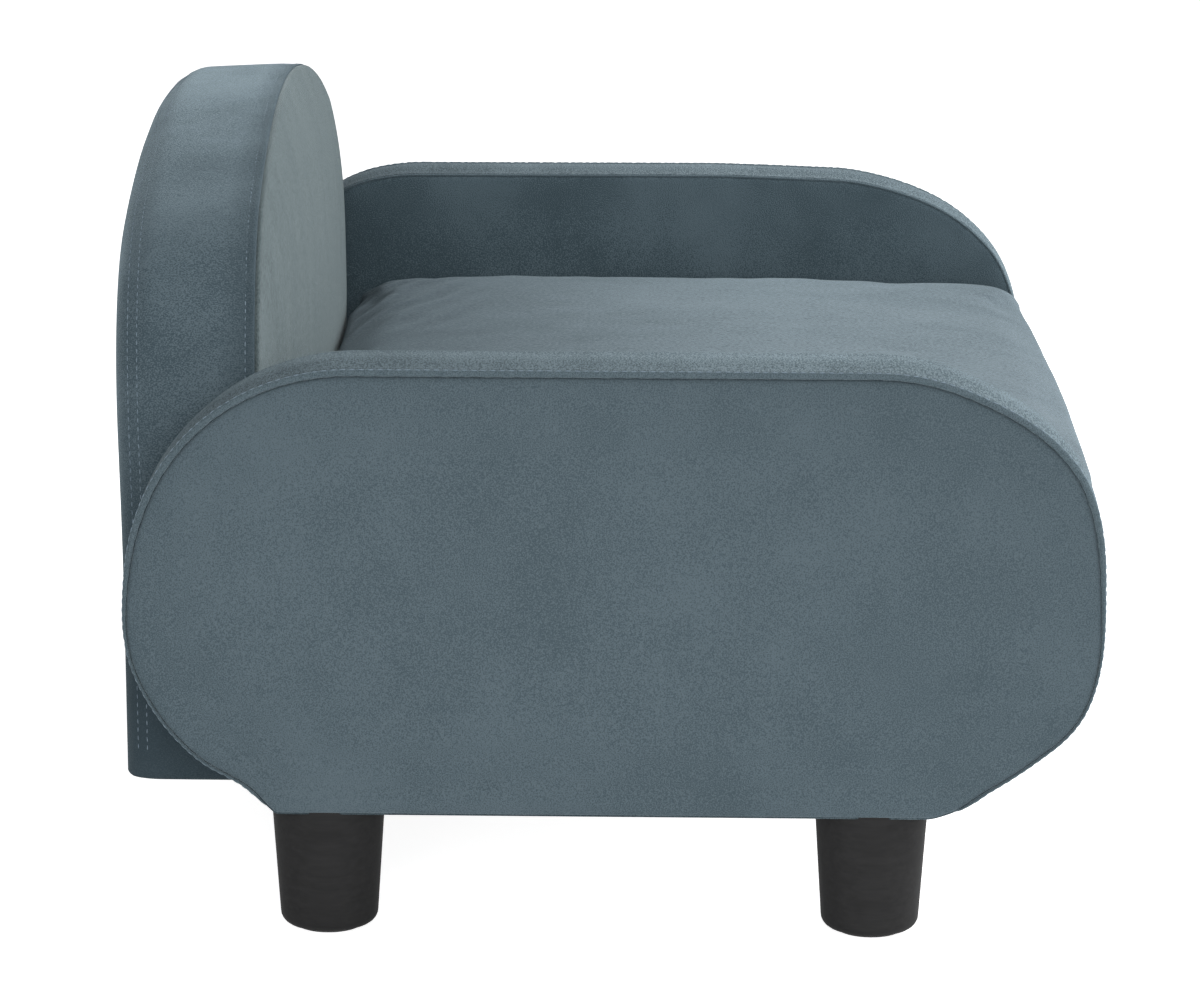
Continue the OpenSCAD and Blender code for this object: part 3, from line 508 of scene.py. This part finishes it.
armOutlines = {}
for side, hand in ((-1, "left"), (1, "right")):
    armCornerPoints, (armMidY, armMidZ, armRun) = armCorners(hand)
    armOutlines[side] = evenOutline(armCornerPoints, armForm["columns"], armForm["soften"])
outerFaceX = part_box("right_arm_outer_cover")[1].x
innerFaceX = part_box("right_arm_inner_cover")[0].x
armWidth = outerFaceX - innerFaceX


def overArm(key, height):  # from 0 to 1 between two heights on the arm
    start, full = armForm[key]
    return smoothStep(armMidZ + start, armMidZ + full, height)


def aboveFoot(side, key):  # the outline's columns above a height
    return [k for k, p in enumerate(armOutlines[side]) if p[1] > armMidZ + armForm[key]]


def alongArm(i, share, inset, depth, side, facing=1):  # a place in the padding, and its outward way
    form = armForm
    a, b, na, nb = armOutlines[side][i % form["columns"]]
    x = outerFaceX - depth if facing > 0 else innerFaceX + depth
    tilt = form["leftTilt" if side < 0 else "rightTilt"] * (outerFaceX - x) / armWidth
    tilt *= overArm("tiltOver", b)
    if facing > 0:
        low, top = form["lowSeam"], form["topSeam"]
        inset *= low + (top - low) * overArm("seamOver", b)
    beyond = max(0, inset - form["cornerInset"]) / form["half"]  # no column crosses its neighbour
    inset = min(inset, form["cornerInset"])
    share = 1 - (1 - share) * (1 - beyond)
    a, b = a - na * inset, b - nb * inset
    middle = min(max(a, armMidY - armRun), armMidY + armRun)
    a, b = a + (middle - a) * share, b + (armMidZ - b) * share
    drop = form["footDrop"] * overArm("footOver", b)
    return Vector((side * x, a, b + tilt * (1 - share) - drop)), Vector((0, na, nb))


def faceProfile(size):  # from the panel's middle at its rear, round its rim and over its face
    form = armForm
    thick, rows = form["panelThick"] / mm, form["faceRows"]
    profile = [(1, 3.6, thick), (0.5, 3.6, thick), (0, 4, thick), (0, 3.1 * size, thick - 1)]
    profile += [(0, inset * size, depth if depth > form["hidden"] else depth * size)
                for inset, depth in form["faceSeam"]]
    profile += [((k / rows) ** 1.25, 10 * size, 0) for k in range(rows + 1)]
    return [(share, inset * mm, depth * mm) for share, inset, depth in profile]


def armPanel(arm, face, side, facing, material):
    form = armForm
    profile = faceProfile(form[face + "Seam"])
    puff, uneven = form[face + "Puff"], form[face + "Uneven"]

    def place(i, j):
        share, inset, depth = profile[j]
        point = alongArm(i, share, inset, depth, side, facing)[0]
        if depth < form["hidden"] * mm:
            distance = inset + share * form["middle"]
            lift = puff * smoothStep(*form["puffOver"], distance)
            lift += clothLift(point, distance, uneven, form["facePucker"],
                              (side + facing * 2, 9 + side))
            point.x += side * facing * lift
        return point

    piece = sewnSheet(arm + face + "_panel", form["columns"], len(profile) - 1, place)
    return finishPiece(piece, material, (arm + face + "_cover", arm + face + "_pad"))


def bandProfile():  # across the band from the outer seam to the inner one, then back underneath
    form = armForm
    edge, rows = form["bandSeam"], form["bandRows"]
    width, size, flat = armWidth / mm, form["innerSeam"], edge[-1][1]
    across = [(0, flat + (width - 2 * flat) * k / rows) for k in range(1, rows)]
    far = [(inset * size, width - depth * size) for inset, depth in reversed(edge)]
    under = form["bandThick"] / mm
    back = [(under, width - form["bandUnder"]), (under, width / 2), (under, form["bandUnder"])]
    return [(inset * mm, depth * mm) for inset, depth in edge + across + far + back + edge[:1]]


def armBand(arm, side):
    form = armForm
    profile = bandProfile()

    def place(i, j):
        inset, depth = profile[j]
        point, outward = alongArm(i, 0, inset, depth, side)
        if inset < form["skin"]:
            across = min(depth, armWidth - depth)
            lift = form["bandCrown"] * smoothStep(*form["crownOver"], across)
            lift += clothLift(point, across, form["bandUneven"], form["bandPucker"],
                              (4 + side, 5 + side))
            point += outward * lift * overArm("flatOver", point.z)  # flat under the arm
        return point

    piece = sewnSheet(arm + "band", form["columns"], len(profile) - 1, place)
    return finishPiece(piece, bandVelvet, (arm + "gusset", arm + "edge_pad"))


def armWelts(arm, side):
    form = armForm
    above = aboveFoot(side, "weltFoot")
    first, last = above[0], above[-1]
    columns, sides = last - first, form["weltSides"]
    (wave, wavePace), (knots, knotPace) = form["weltWave"], form["weltKnots"]
    copies = []
    for facing, size, seat in ((1, 1, 1), (-1, form["innerSeam"], form["innerWeltIn"])):
        def place(i, j, facing=facing, size=size, seat=seat):
            taper = min(1, i / 3, (columns - i) / 3)
            uneven = 1 + wave * math.sin(i * wavePace)
            uneven += knots * rumple((i * knotPace, side * 3.7, facing), 1)
            radius = form["weltRadius"] * size * math.sqrt(max(taper, 0)) * uneven
            angle = 2 * math.pi * j / sides
            inset = form["weltIn"] * seat - radius * math.cos(angle)
            depth = form["weltIn"] * size + radius * math.sin(angle)
            return alongArm(first + i, 0, inset, depth, side, facing)[0]
        copies.append(sewnSheet(arm + "piping", columns, sides, place))
    return finishPiece(joinCopies(arm + "piping", copies), weltVelvet, (arm + "welts",))


thread = {"flat": 0.8, "sunk": 0.05, "swing": 4, "swingPace": 2.3}


def stitchRow(name, path, form):  # thread laid along a path of (point, outward) pairs
    deselectAll()
    bpy.ops.mesh.primitive_uv_sphere_add(segments=6, ring_count=4, radius=0.5)
    stitch = bpy.context.object
    thick, long, pitch = form["stitchThick"], form["stitchLong"], form["stitchPitch"]
    pieces, walked, wanted = [], 0, pitch / 2
    for (p0, n0), (p1, n1) in zip(path, path[1:]):
        step = (p1 - p0).length
        while walked + step >= wanted:
            t = (wanted - walked) / step
            out = n0.lerp(n1, t).normalized()
            along = (p1 - p0).normalized()
            side = along.cross(out)
            copy = stitch.copy()
            copy.data = stitch.data.copy()
            bpy.context.scene.collection.objects.link(copy)
            shape = Matrix((side * thick, out * thick * thread["flat"],
                            along * long)).transposed().to_4x4()
            swing = thread["swing"] * math.sin(len(pieces) * thread["swingPace"])
            tilt = Matrix.Rotation(math.radians(swing), 4, out)
            seat = Matrix.Translation(p0.lerp(p1, t) - out * thread["sunk"] * mm)
            copy.data.transform(seat @ tilt @ shape)
            pieces.append(copy)
            wanted += pitch
        walked += step
    bpy.data.objects.remove(stitch)
    piece = joinCopies(name, pieces)
    activate(piece)
    bpy.ops.object.shade_smooth()
    return finishPiece(piece, threadCloth)


def armStitches(arm, side):  # one row on the band, along the outer welt
    form = armForm
    above = aboveFoot(side, "stitchFoot")
    path = [alongArm(k, 0, form["stitchInset"], form["stitchDepth"], side)
            for k in range(above[0], above[-1] + 1)]
    lean = Vector((side * form["stitchLean"], 0, 0))
    path = [(point, (outward + lean).normalized()) for point, outward in path]
    return stitchRow(arm + "stitches", path, form)


for side, hand in ((-1, "left"), (1, "right")):
    arm = hand + "_arm_"
    armPanel(arm, "outer", side, 1, armVelvet)
    armPanel(arm, "inner", side, -1, armInnerShadedVelvet)
    armBand(arm, side)
    armWelts(arm, side)
    armStitches(arm, side)
print("arms made")


# Back: a crowned front panel and a body whose band turns softly into the rear

backForm = lengths(
    cornerR=122, crestR=600, edgeR=20, crown=11, midHeight=150, run=150, soften=3, footR=5,
    crownFade=50, rearBulge=1.2, rearUneven=0.5, rearSize=90, seamGroove=0.5, seamFromRear=9.6,
    seamWidth=1.1, rowGroove=0.28, rowWidth=1.3, rowsFromRear=(7.2, 12), rowFromFront=6.4,
    rearThread=(0.12, 0.06), threadFoot=12, frontThread=(0.16, 0.2), threadSinks=(250, 330),
    stitchLong=2.7, stitchThick=0.6, stitchPitch=4.4, topRise=1.2, topFall=3.4, topOver=(300, 385),
    footDrop=2.6, footOver=(130, 75)
) | {
    "crownPower": 3, "columns": 460, "seatZ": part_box("base_cover")[1].z, "frontRows": 30,
    "rearRows": 26,
    # bumps: height, size and the two distances from the seam, in mm
    "frontUneven": (0.5, 80, 4, 30), "frontPucker": (0.25, 14, 4, 20),
    "bandUneven": (0.4, 45, 4, 20), "bandPucker": (0.25, 13, 4, 20),
    # the front panel's section: share of the way to its middle, mm in, mm deep
    "frontSeam": [
        (1, 4, 13.6), (0.5, 4, 13.6), (0, 4, 13.6), (0, 2, 13), (0, 1.7, 8), (0, 1.5, 3),
        (0, 1.1, 1.8), (0, 0.9, 1.2), (0, 1, 0.7), (0, 1.6, 0.3), (0, 2.6, 0.1), (0, 4, 0),
        (0, 6, 0), (0, 9, 0)],
    # how far the upholstery leans to the rear: height above the floor, then mm
    "frontLean": [(0.2, 0), (0.26, 0.8), (0.3, 1.7), (0.34, 3.4), (0.37, 5.2), (0.393, 7)],
    "rearLean": [(0.067, 3), (0.172, 3.4), (0.228, 4.4), (0.28, 5.8), (0.34, 8.2), (0.37, 9.6),
                 (0.393, 10.5)],
    "fallPower": 1.5, "footEdge": 0.12,
}
backLow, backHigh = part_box("back_gusset")
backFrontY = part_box("base_cover")[1].y
backHalf = backHigh.x
backMidZ = backLow.z + backForm["midHeight"]
backDeep = backHigh.y - backFrontY
backTurnX = backHalf - backForm["cornerR"]
backCrestZ = backHigh.z - backForm["crestR"]
backTurnZ = backCrestZ + math.sqrt((backForm["crestR"] - backForm["cornerR"]) ** 2 - backTurnX ** 2)


def backCorners():
    foot, low = backForm["footR"], backLow.z
    meet = math.degrees(math.atan2(backTurnZ - backCrestZ, backTurnX))
    left = arcPoints((-backHalf + foot, low + foot), foot, 270, 180, 6)
    left += arcPoints((-backTurnX, backTurnZ), backForm["cornerR"], 180, 180 - meet, 50)
    left += arcPoints((0, backCrestZ), backForm["crestR"], 180 - meet, 90, 60)[1:]
    right = [(-a, b) for a, b in reversed(left[:-1])]
    return [(0, low)] + left + right


def leanBack(point):
    form = backForm
    share = min(1, max(0, (point.y - backFrontY) / backDeep))
    lean = between(form["frontLean"], point.z) * (1 - share)
    lean += between(form["rearLean"], point.z) * share
    point.y += lean * mm
    top, foot = smoothStep(*form["topOver"], point.z), smoothStep(*form["footOver"], point.z)
    point.z += form["topRise"] * top - form["topFall"] * top * share ** form["fallPower"]
    point.z -= form["footDrop"] * foot
    return point


backOutline = evenOutline(backCorners(), backForm["columns"], backForm["soften"])


def alongBack(i, share, inset, depth):
    a, b, na, nb = backOutline[i % len(backOutline)]
    a, b = a - na * inset, b - nb * inset * (backForm["footEdge"] if nb < 0 else 1)
    a = min(max(a, inset - backHalf), backHalf - inset)  # the foot corners are mitred
    middle = min(max(a, -backForm["run"]), backForm["run"])
    a, b = a + (middle - a) * share, b + (backMidZ - b) * share
    return Vector((a, backFrontY + depth, b)), Vector((na, 0, nb))


def topAt(x):  # height of the back's outline over x
    corner, crest = backForm["cornerR"], backForm["crestR"]
    beyond = abs(x) - backTurnX
    if beyond > corner * backTurnX / (crest - corner):
        return backTurnZ + math.sqrt(max(0, corner ** 2 - beyond ** 2))
    return backCrestZ + math.sqrt(crest ** 2 - x * x)


def crownAt(x, z):
    power = backForm["crownPower"]
    reach = backForm["crown"] * (1 - min(1, abs(x) / backHalf) ** power)
    height = (z - backForm["seatZ"]) / max(0.001, topAt(x) - backForm["seatZ"])
    if height <= 0:
        return 0
    return reach * (1 - abs(2 * min(height, 1) - 1) ** power)


def backFront():
    form = backForm
    rows = form["frontRows"]
    profile = [(share, inset * mm, depth * mm) for share, inset, depth in form["frontSeam"]]
    profile += [((k / rows) ** 1.15, profile[-1][1], 0) for k in range(1, rows + 1)]

    def place(i, j):
        share, inset, depth = profile[j]
        point = alongBack(i, share, inset, depth)[0]
        if depth < 1.5 * mm:
            distance = inset + share * form["run"]
            above = smoothStep(form["seatZ"], form["seatZ"] + form["crownFade"], point.z)
            lift = clothLift(point, distance, form["frontUneven"], form["frontPucker"], (12, 13))
            point.y -= crownAt(point.x, point.z) + above * lift
        return leanBack(point)

    piece = sewnSheet("back_front_panel", form["columns"], len(profile) - 1, place)
    return finishPiece(piece, backFrontVelvet, ("back_front_cover", "back_front_pad"))


def bodyProfile():  # the lining from the middle of the rear to the front seam, then the outside
    edgeR, deep, rows = backForm["edgeR"] / mm, backDeep / mm, backForm["rearRows"]
    turn = deep - edgeR
    inner = [(share, 14, deep - 7) for share in (1, 0.6, 0.2, 0)]
    inner += [(0, 7, turn - 2), (0, 7, 30), (0, 7, 14.4), (0, 1.7, 14.2), (0, 1.6, 8)]
    outer = [(0, 1.0, 1.9), (0, 0.5, 2.1), (0, 0.15, 2.7), (0, 0, 3.8), (0, 0, 5.4), (0, 0, 6.4),
             (0, 0, 7.6)]
    outer += [(0, 0, 7.6 + (turn - 7.6) * k / 12) for k in range(1, 13)]
    outer += [(0, *place) for place in arcPoints((edgeR, turn), edgeR, 180, 90, 18)[1:]]
    outer += [((k / rows) ** 1.15, edgeR, deep) for k in range(1, rows + 1)]
    return [(share, inset * mm, depth * mm) for share, inset, depth in inner + outer], len(inner)


def backBody():
    form = backForm
    profile, firstOuter = bodyProfile()
    seamAt = backDeep - form["seamFromRear"]
    rowsAt = (form["rowFromFront"], *(backDeep - place for place in form["rowsFromRear"]))

    def place(i, j):
        share, inset, depth = profile[j]
        point, outward = alongBack(i, share, inset, depth)
        if j < firstOuter + 3:
            return leanBack(point)
        foot = smoothStep(backLow.z + 1 * mm, backLow.z + 12 * mm, point.z)
        if share == 0:
            lift = clothLift(point, depth, form["bandUneven"], form["bandPucker"], (15, 16))
            lift -= form["seamGroove"] * math.exp(-((depth - seamAt) / form["seamWidth"]) ** 2)
            for row in rowsAt:
                lift -= form["rowGroove"] * math.exp(-((depth - row) / form["rowWidth"]) ** 2)
            point += outward * lift * foot
        if depth > backDeep - form["edgeR"]:
            point.y += foot * form["rearBulge"] * smoothStep(0, 0.5, share)
            bumps = rumple(point, form["rearSize"], 17)
            point.y += foot * form["rearUneven"] * bumps * smoothStep(0, 0.2, share)
        return leanBack(point)

    piece = sewnSheet("back_body", form["columns"], len(profile) - 1, place)
    replaced = ("back_gusset", "back_rear_cover", "back_edge_pad", "back_rear_pad")
    return finishPiece(piece, backVelvet, replaced)


def backStitches(name, depth, inset, sunk):  # thread over the sides and top, sunk deeper above
    form = backForm
    above = [k for k, p in enumerate(backOutline) if p[1] > backLow.z + form["threadFoot"]]
    path = []
    for k in range(above[0], above[-1] + 1):
        point, outward = alongBack(k, 0, inset, depth)
        point = leanBack(point)
        path.append((point - outward * sunk * smoothStep(*form["threadSinks"], point.z), outward))
    return stitchRow(name, path, form)


backFront()
backBody()
for name, fromRear in zip(("outer", "inner"), backForm["rowsFromRear"]):
    raised, sunk = backForm["rearThread"]
    turn = math.asin(1 - fromRear / backForm["edgeR"])
    raised += backForm["edgeR"] * (1 - math.cos(turn))
    backStitches("back_stitches_" + name, backDeep - fromRear, raised, sunk)
backStitches("back_stitches_front", backForm["rowFromFront"], *backForm["frontThread"])
print("back made")


# Seat base: one padded cover over the deck and front rail

baseForm = lengths(
    edgeR=12, lowR=8, back=30, thick=7.4, wrapThick=1.6, wrapHeight=12, bulge=1.2, uneven=0.3,
    unevenSize=50
) | {"columns": 96}


def baseCover():
    form = baseForm
    low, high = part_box("base_cover")
    edgeR, lowR, columns = form["edgeR"], form["lowR"], form["columns"]
    noseY, noseZ, chinZ = low.y + edgeR, high.z - edgeR, low.z + lowR
    outer = [(high.y, high.z)]
    outer += [(noseY + (high.y - noseY) * (1 - k / 12), high.z) for k in range(1, 12)]
    outer += arcPoints((noseY, noseZ), edgeR, 90, 180, 8)
    outer += [(low.y, noseZ + (chinZ - noseZ) * k / 10) for k in range(1, 10)]
    outer += arcPoints((low.y + lowR, chinZ), lowR, 180, 270, 6) + [(low.y + form["back"], low.z)]
    inner = []
    for k, (y, z) in enumerate(outer):
        y0, z0 = outer[max(0, k - 1)]
        y1, z1 = outer[min(len(outer) - 1, k + 1)]
        length = math.hypot(y1 - y0, z1 - z0)
        thick = form["thick"] if z > low.z + form["wrapHeight"] else form["wrapThick"]
        inner.append((y - (z1 - z0) / length * thick, z + (y1 - y0) / length * thick))
    loop = outer + list(reversed(inner)) + outer[:1]
    last = len(outer) * 2 - 1

    def place(i, j):
        y, z = loop[j]
        if i in (0, columns):  # the ends close on the middle of the cloth
            other = loop[last - j if j <= last else last]
            y, z = (y + other[0]) / 2, (z + other[1]) / 2
        x = low.x + (high.x - low.x) * max(0, min(columns - 2, i - 1)) / (columns - 2)
        point = Vector((x, y, z))
        if j < len(outer) and y < low.y + 1 * mm and 0 < i < columns:
            middle = 1 - abs(2 * (z - low.z) / (high.z - low.z) - 1) ** 2
            bumps = rumple(point, form["unevenSize"], 21)
            point.y -= form["bulge"] * middle + form["uneven"] * bumps
        return point

    piece = sewnSheet("base_padding", columns, len(loop) - 1, place)
    return finishPiece(piece, armInnerShadedVelvet, ("base_cover", "base_pad"))


baseCover()
print("base made")


# Cushion: a crowned form, puffed up by cloth simulation, then given creases

cushionForm = lengths(
    thick=55, crown=8, topR=10, lowR=8, cornerR=12, draw=4, bow=4, ahead=0.5, soften=2, run=60,
    voxel=5, pinned=4, cap=7, topOver=(30, 50), sag=5.5, fold=1.6, foldPitch=21, creases=0.7,
    dimples=0.35, nose=10, noseOver=(100, 10), rearPush=9, backGap=1, wallGap=0.8, zipGap=0.5,
    zipPast=(7, 1), zipHalf=(12.5, 8.5)
) | {
    "columns": 300, "pressure": 4.0, "frames": 20, "frontSag": (-0.08, -0.25),
    "rearSag": (0.06, 0.165), "sideSag": (0.10, 0.27), "foldTurn": 22, "foldWander": 2.4,
    "foldFrom": (0.07, 0.13), "foldTo": (0.15, 0.17), "foldIn": (0.03, 0.09),
    "foldOut": (0.22, 0.27), "noseEnd": (0.2, 0.29), "leftDraw": 0.4, "rightDraw": 0.08,
    "pushOver": (0.06, 0.15), "pushEnd": (0.20, 0.288), "pushDraw": 1.3,
}


def backWall(across, gap):  # where the back's crown stands behind the cushion
    crown = backForm["crown"] * (1 - min(1, abs(across) / backHalf) ** backForm["crownPower"])
    return backFrontY - gap - crown


def cushionOutline():
    form = cushionForm
    low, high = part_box("cushion_cover")
    r, draw, bow = form["cornerR"], form["draw"], form["bow"]
    x, front = high.x - r, low.y - form["ahead"] + r
    rear = backWall(x, form["backGap"]) - r
    long, short = [k / 40 for k in range(1, 40)], [k / 30 for k in range(1, 30)]
    corners = arcPoints((x, rear), r, 0, 90, 12)
    corners += [(x * (1 - 2 * t), backWall(x * (1 - 2 * t), form["backGap"])) for t in long]
    corners += arcPoints((-x, rear), r, 90, 180, 12)
    corners += [(-x - r + draw * 4 * t * (1 - t), rear + (front - rear) * t) for t in short]
    corners += arcPoints((-x, front), r, 180, 270, 12)
    corners += [(-x + 2 * x * t, front - r - bow * 4 * t * (1 - t)) for t in long]
    corners += arcPoints((x, front), r, 270, 360, 12)
    corners += [(x + r - draw * 4 * t * (1 - t), front + (rear - front) * t) for t in short]
    corners.reverse()  # clockwise, as the other outlines
    return evenOutline(corners, form["columns"], form["soften"]), low, high


cushionRing, cushionLow, cushionHigh = cushionOutline()


def cushionBlank():
    form = cushionForm
    lowR, topR, thick, run = form["lowR"], form["topR"], form["thick"], form["run"]
    z0 = cushionLow.z
    z1 = z0 + thick
    profile = [(1 - k / 10, lowR, z0) for k in range(10)]
    profile += [(0, *place) for place in arcPoints((lowR, z0 + lowR), lowR, 270, 180, 6)]
    profile += [(0, 0, z0 + lowR + (thick - lowR - topR) * k / 6) for k in range(1, 6)]
    profile += [(0, *place) for place in arcPoints((topR, z1 - topR), topR, 180, 90, 9)]
    profile += [(k / 16, topR, z1 + form["crown"] * (1 - (1 - k / 16) ** 2)) for k in range(1, 17)]
    middle = ((cushionLow.x + cushionHigh.x) / 2, (cushionLow.y + cushionHigh.y) / 2)

    def place(i, j):
        share, inset, z = profile[j]
        a, b, na, nb = cushionRing[i % form["columns"]]
        a, b = a - na * inset, b - nb * inset
        centre = min(max(a, middle[0] - run), middle[0] + run)
        return Vector((a + (centre - a) * share, b + (middle[1] - b) * share, z))

    return sewnSheet("seat_cushion", form["columns"], len(profile) - 1, place)


def puffCushion(piece):
    form = cushionForm
    scene = bpy.context.scene
    applyModifier(piece, "REMESH", mode="VOXEL", voxel_size=form["voxel"], use_smooth_shade=True)
    start = [vertex.co.copy() for vertex in piece.data.vertices]
    flat = [k for k, co in enumerate(start) if co.z < cushionLow.z + form["pinned"]]
    piece.vertex_groups.new(name="flat").add(flat, 1.0, "REPLACE")
    activate(piece)
    cloth = piece.modifiers.new("cloth", "CLOTH")
    cloth.settings.use_pressure = True
    cloth.settings.uniform_pressure_force = form["pressure"]
    cloth.settings.effector_weights.gravity = 0
    cloth.settings.vertex_group_mass = "flat"
    cloth.point_cache.frame_start, cloth.point_cache.frame_end = 1, form["frames"]
    for step in range(1, form["frames"] + 1):
        scene.frame_set(step)
    bpy.ops.object.modifier_apply(modifier=cloth.name)
    scene.frame_set(1)
    for vertex, co in zip(piece.data.vertices, start):
        move = vertex.co - co
        if move.length > form["cap"]:
            vertex.co = co + move * (form["cap"] / move.length)


def settleCushion(piece):  # shapes its top, and keeps it between the arms, base and back
    form = cushionForm
    low = cushionLow
    tapeLow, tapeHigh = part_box("zip_tape")
    tapeZ = (tapeLow.z + tapeHigh.z) / 2
    turn = math.radians(form["foldTurn"])

    def over(key, value, origin=0):
        start, full = form[key]
        return smoothStep(origin + start, origin + full, value)

    for vertex in piece.data.vertices:
        co = vertex.co
        out = abs(co.x)
        top = over("topOver", co.z, low.z)
        sag = over("frontSag", co.y) + over("rearSag", co.y) * over("sideSag", out)
        co.z -= top * form["sag"] * sag
        # soft folds where the back presses on the cushion
        across = co.y * math.cos(turn) + out * math.sin(turn)
        wander = form["foldWander"] * rumple(co, 0.06, 31)
        fold = math.sin(2 * math.pi * across / form["foldPitch"] + wander)
        near = over("foldFrom", co.y) * (1 - over("foldTo", co.y))
        near *= over("foldIn", out) * (1 - over("foldOut", out))
        co.z += top * near * form["fold"] * fold * (0.6 + 0.6 * rumple(co, 0.04, 32))
        creases = form["creases"] * rumple((co.x, co.y * 2.4, 0), 0.07, 33)
        co.z += top * (creases + form["dimples"] * rumple(co, 0.025, 34))
        co.z = max(co.z, low.z)
        co.x = max(low.x, min(cushionHigh.x, co.x))
        out = abs(co.x)
        corner = over("noseEnd", out) * form["leftDraw" if co.x < 0 else "rightDraw"]
        co.y -= form["nose"] * (1 - corner) * over("noseOver", co.y, low.y)
        corner = over("pushEnd", out) * form["pushDraw"]
        co.y += form["rearPush"] * (1 - corner) * over("pushOver", co.y)
        # the rear stops at the back, and before the zip at its tape
        wall = backWall(co.x, form["wallGap"])
        channel = over("zipPast", out, tapeHigh.x) * over("zipHalf", abs(co.z - tapeZ))
        wall += (tapeLow.y - form["zipGap"] - wall) * channel
        co.y = min(co.y, wall)


cushion = cushionBlank()
puffCushion(cushion)
applyModifier(cushion, "SUBSURF", levels=1, render_levels=1)
settleCushion(cushion)
activate(cushion)
bpy.ops.object.shade_smooth()
finishPiece(cushion, cushionVelvet, ("cushion_cover", "cushion_foam"), body="cushion")
print("cushion made")


# Camera, lights and floor

cameraView = {"place": (-2.4717, -0.0327, 0.7126), "yaw": 0.98, "pitch": -12.856, "roll": 0.222,
              "lens": 132.753, "sensor": 36.0, "far": 60}


def setCamera():
    view = cameraView
    yaw, pitch, roll = (math.radians(view[key]) for key in ("yaw", "pitch", "roll"))
    level = math.cos(pitch)
    ahead = Vector((math.cos(yaw) * level, math.sin(yaw) * level, math.sin(pitch)))
    right = Vector((math.sin(yaw), -math.cos(yaw), 0))
    up = right.cross(ahead)
    right, up = (right * math.cos(roll) + up * math.sin(roll),
                 up * math.cos(roll) - right * math.sin(roll))
    bpy.ops.object.camera_add()
    camera = bpy.context.object
    camera.matrix_world = Matrix.Translation(view["place"]) @ Matrix(
        (right, up, -ahead)).transposed().to_4x4()
    camera.data.lens = view["lens"]
    camera.data.sensor_width = view["sensor"]
    camera.data.clip_end = view["far"]
    bpy.context.scene.camera = camera


def addSoftbox(name, place, target, size, power):
    bpy.ops.object.light_add(type="AREA", location=place)
    lamp = bpy.context.object
    lamp.name = name
    lamp.data.shape = "RECTANGLE"
    lamp.data.size, lamp.data.size_y = size
    lamp.data.energy = power
    lamp.rotation_euler = (Vector(target) - Vector(place)).to_track_quat("-Z", "Y").to_euler()


studio = {
    "sky": 0.30, "floorColour": 0.86, "floorGlow": 0.88, "floorSize": 60,
    "boxes": [
        ("ceilingBox", (0.2, -1.5, 2.2), (0, 0, 0.2), (2.0, 1.4), 11),
        ("frontBox", (0.15, -1.65, 1.05), (0, 0, 0.25), (1.3, 1.1), 38.5),
        ("cameraBox", (-2.9, 0, 1.0), (0, 0, 0.2), (1.8, 1.6), 47),
        ("rearBox", (0.6, 2.7, 1.0), (0, 0, 0.2), (2.0, 1.5), 4),
    ],
}


def addSeenRays(tree):  # 1 for what the camera sees, straight, mirrored or through glass
    rays = tree.nodes.new("ShaderNodeLightPath").outputs
    seen = addMath(tree, "MAXIMUM", rays["Is Camera Ray"], rays["Is Glossy Ray"])
    return addMath(tree, "MAXIMUM", seen, rays["Is Transmission Ray"])


def setStudio():
    scene = bpy.context.scene
    for box in studio["boxes"]:
        addSoftbox(*box)
    world = scene.world = bpy.data.worlds.new("studio")
    tree, output = emptyTree(world, "ShaderNodeOutputWorld")
    soft, clear = tree.nodes.new("ShaderNodeBackground"), tree.nodes.new("ShaderNodeBackground")
    feed(tree, soft, {"Color": (1, 1, 1, 1), "Strength": studio["sky"]})
    feed(tree, clear, {"Color": (1, 1, 1, 1), "Strength": 1})
    mix = tree.nodes.new("ShaderNodeMixShader")
    feed(tree, mix, {0: addSeenRays(tree), 1: soft.outputs[0], 2: clear.outputs[0]})
    feed(tree, output, {0: mix.outputs[0]})
    bpy.ops.mesh.primitive_plane_add(size=studio["floorSize"], location=(0, 0, 0))
    floor = bpy.context.object
    floor.name = "floor"
    material = bpy.data.materials.new("floorWhite")
    tree, output = emptyTree(material, "ShaderNodeOutputMaterial")
    diffuse, glow = tree.nodes.new("ShaderNodeBsdfDiffuse"), tree.nodes.new("ShaderNodeEmission")
    power = addMath(tree, "MULTIPLY", addSeenRays(tree), studio["floorGlow"])
    feed(tree, diffuse, {"Color": (*[studio["floorColour"]] * 3, 1)})
    feed(tree, glow, {"Strength": power})
    both = tree.nodes.new("ShaderNodeAddShader")
    feed(tree, both, {0: diffuse.outputs[0], 1: glow.outputs[0]})
    feed(tree, output, {0: both.outputs[0]})
    floor.data.materials.append(material)
    scene.view_settings.view_transform = "Standard"


setCamera()
setStudio()
print("studio set")

bpy.context.view_layer.update()
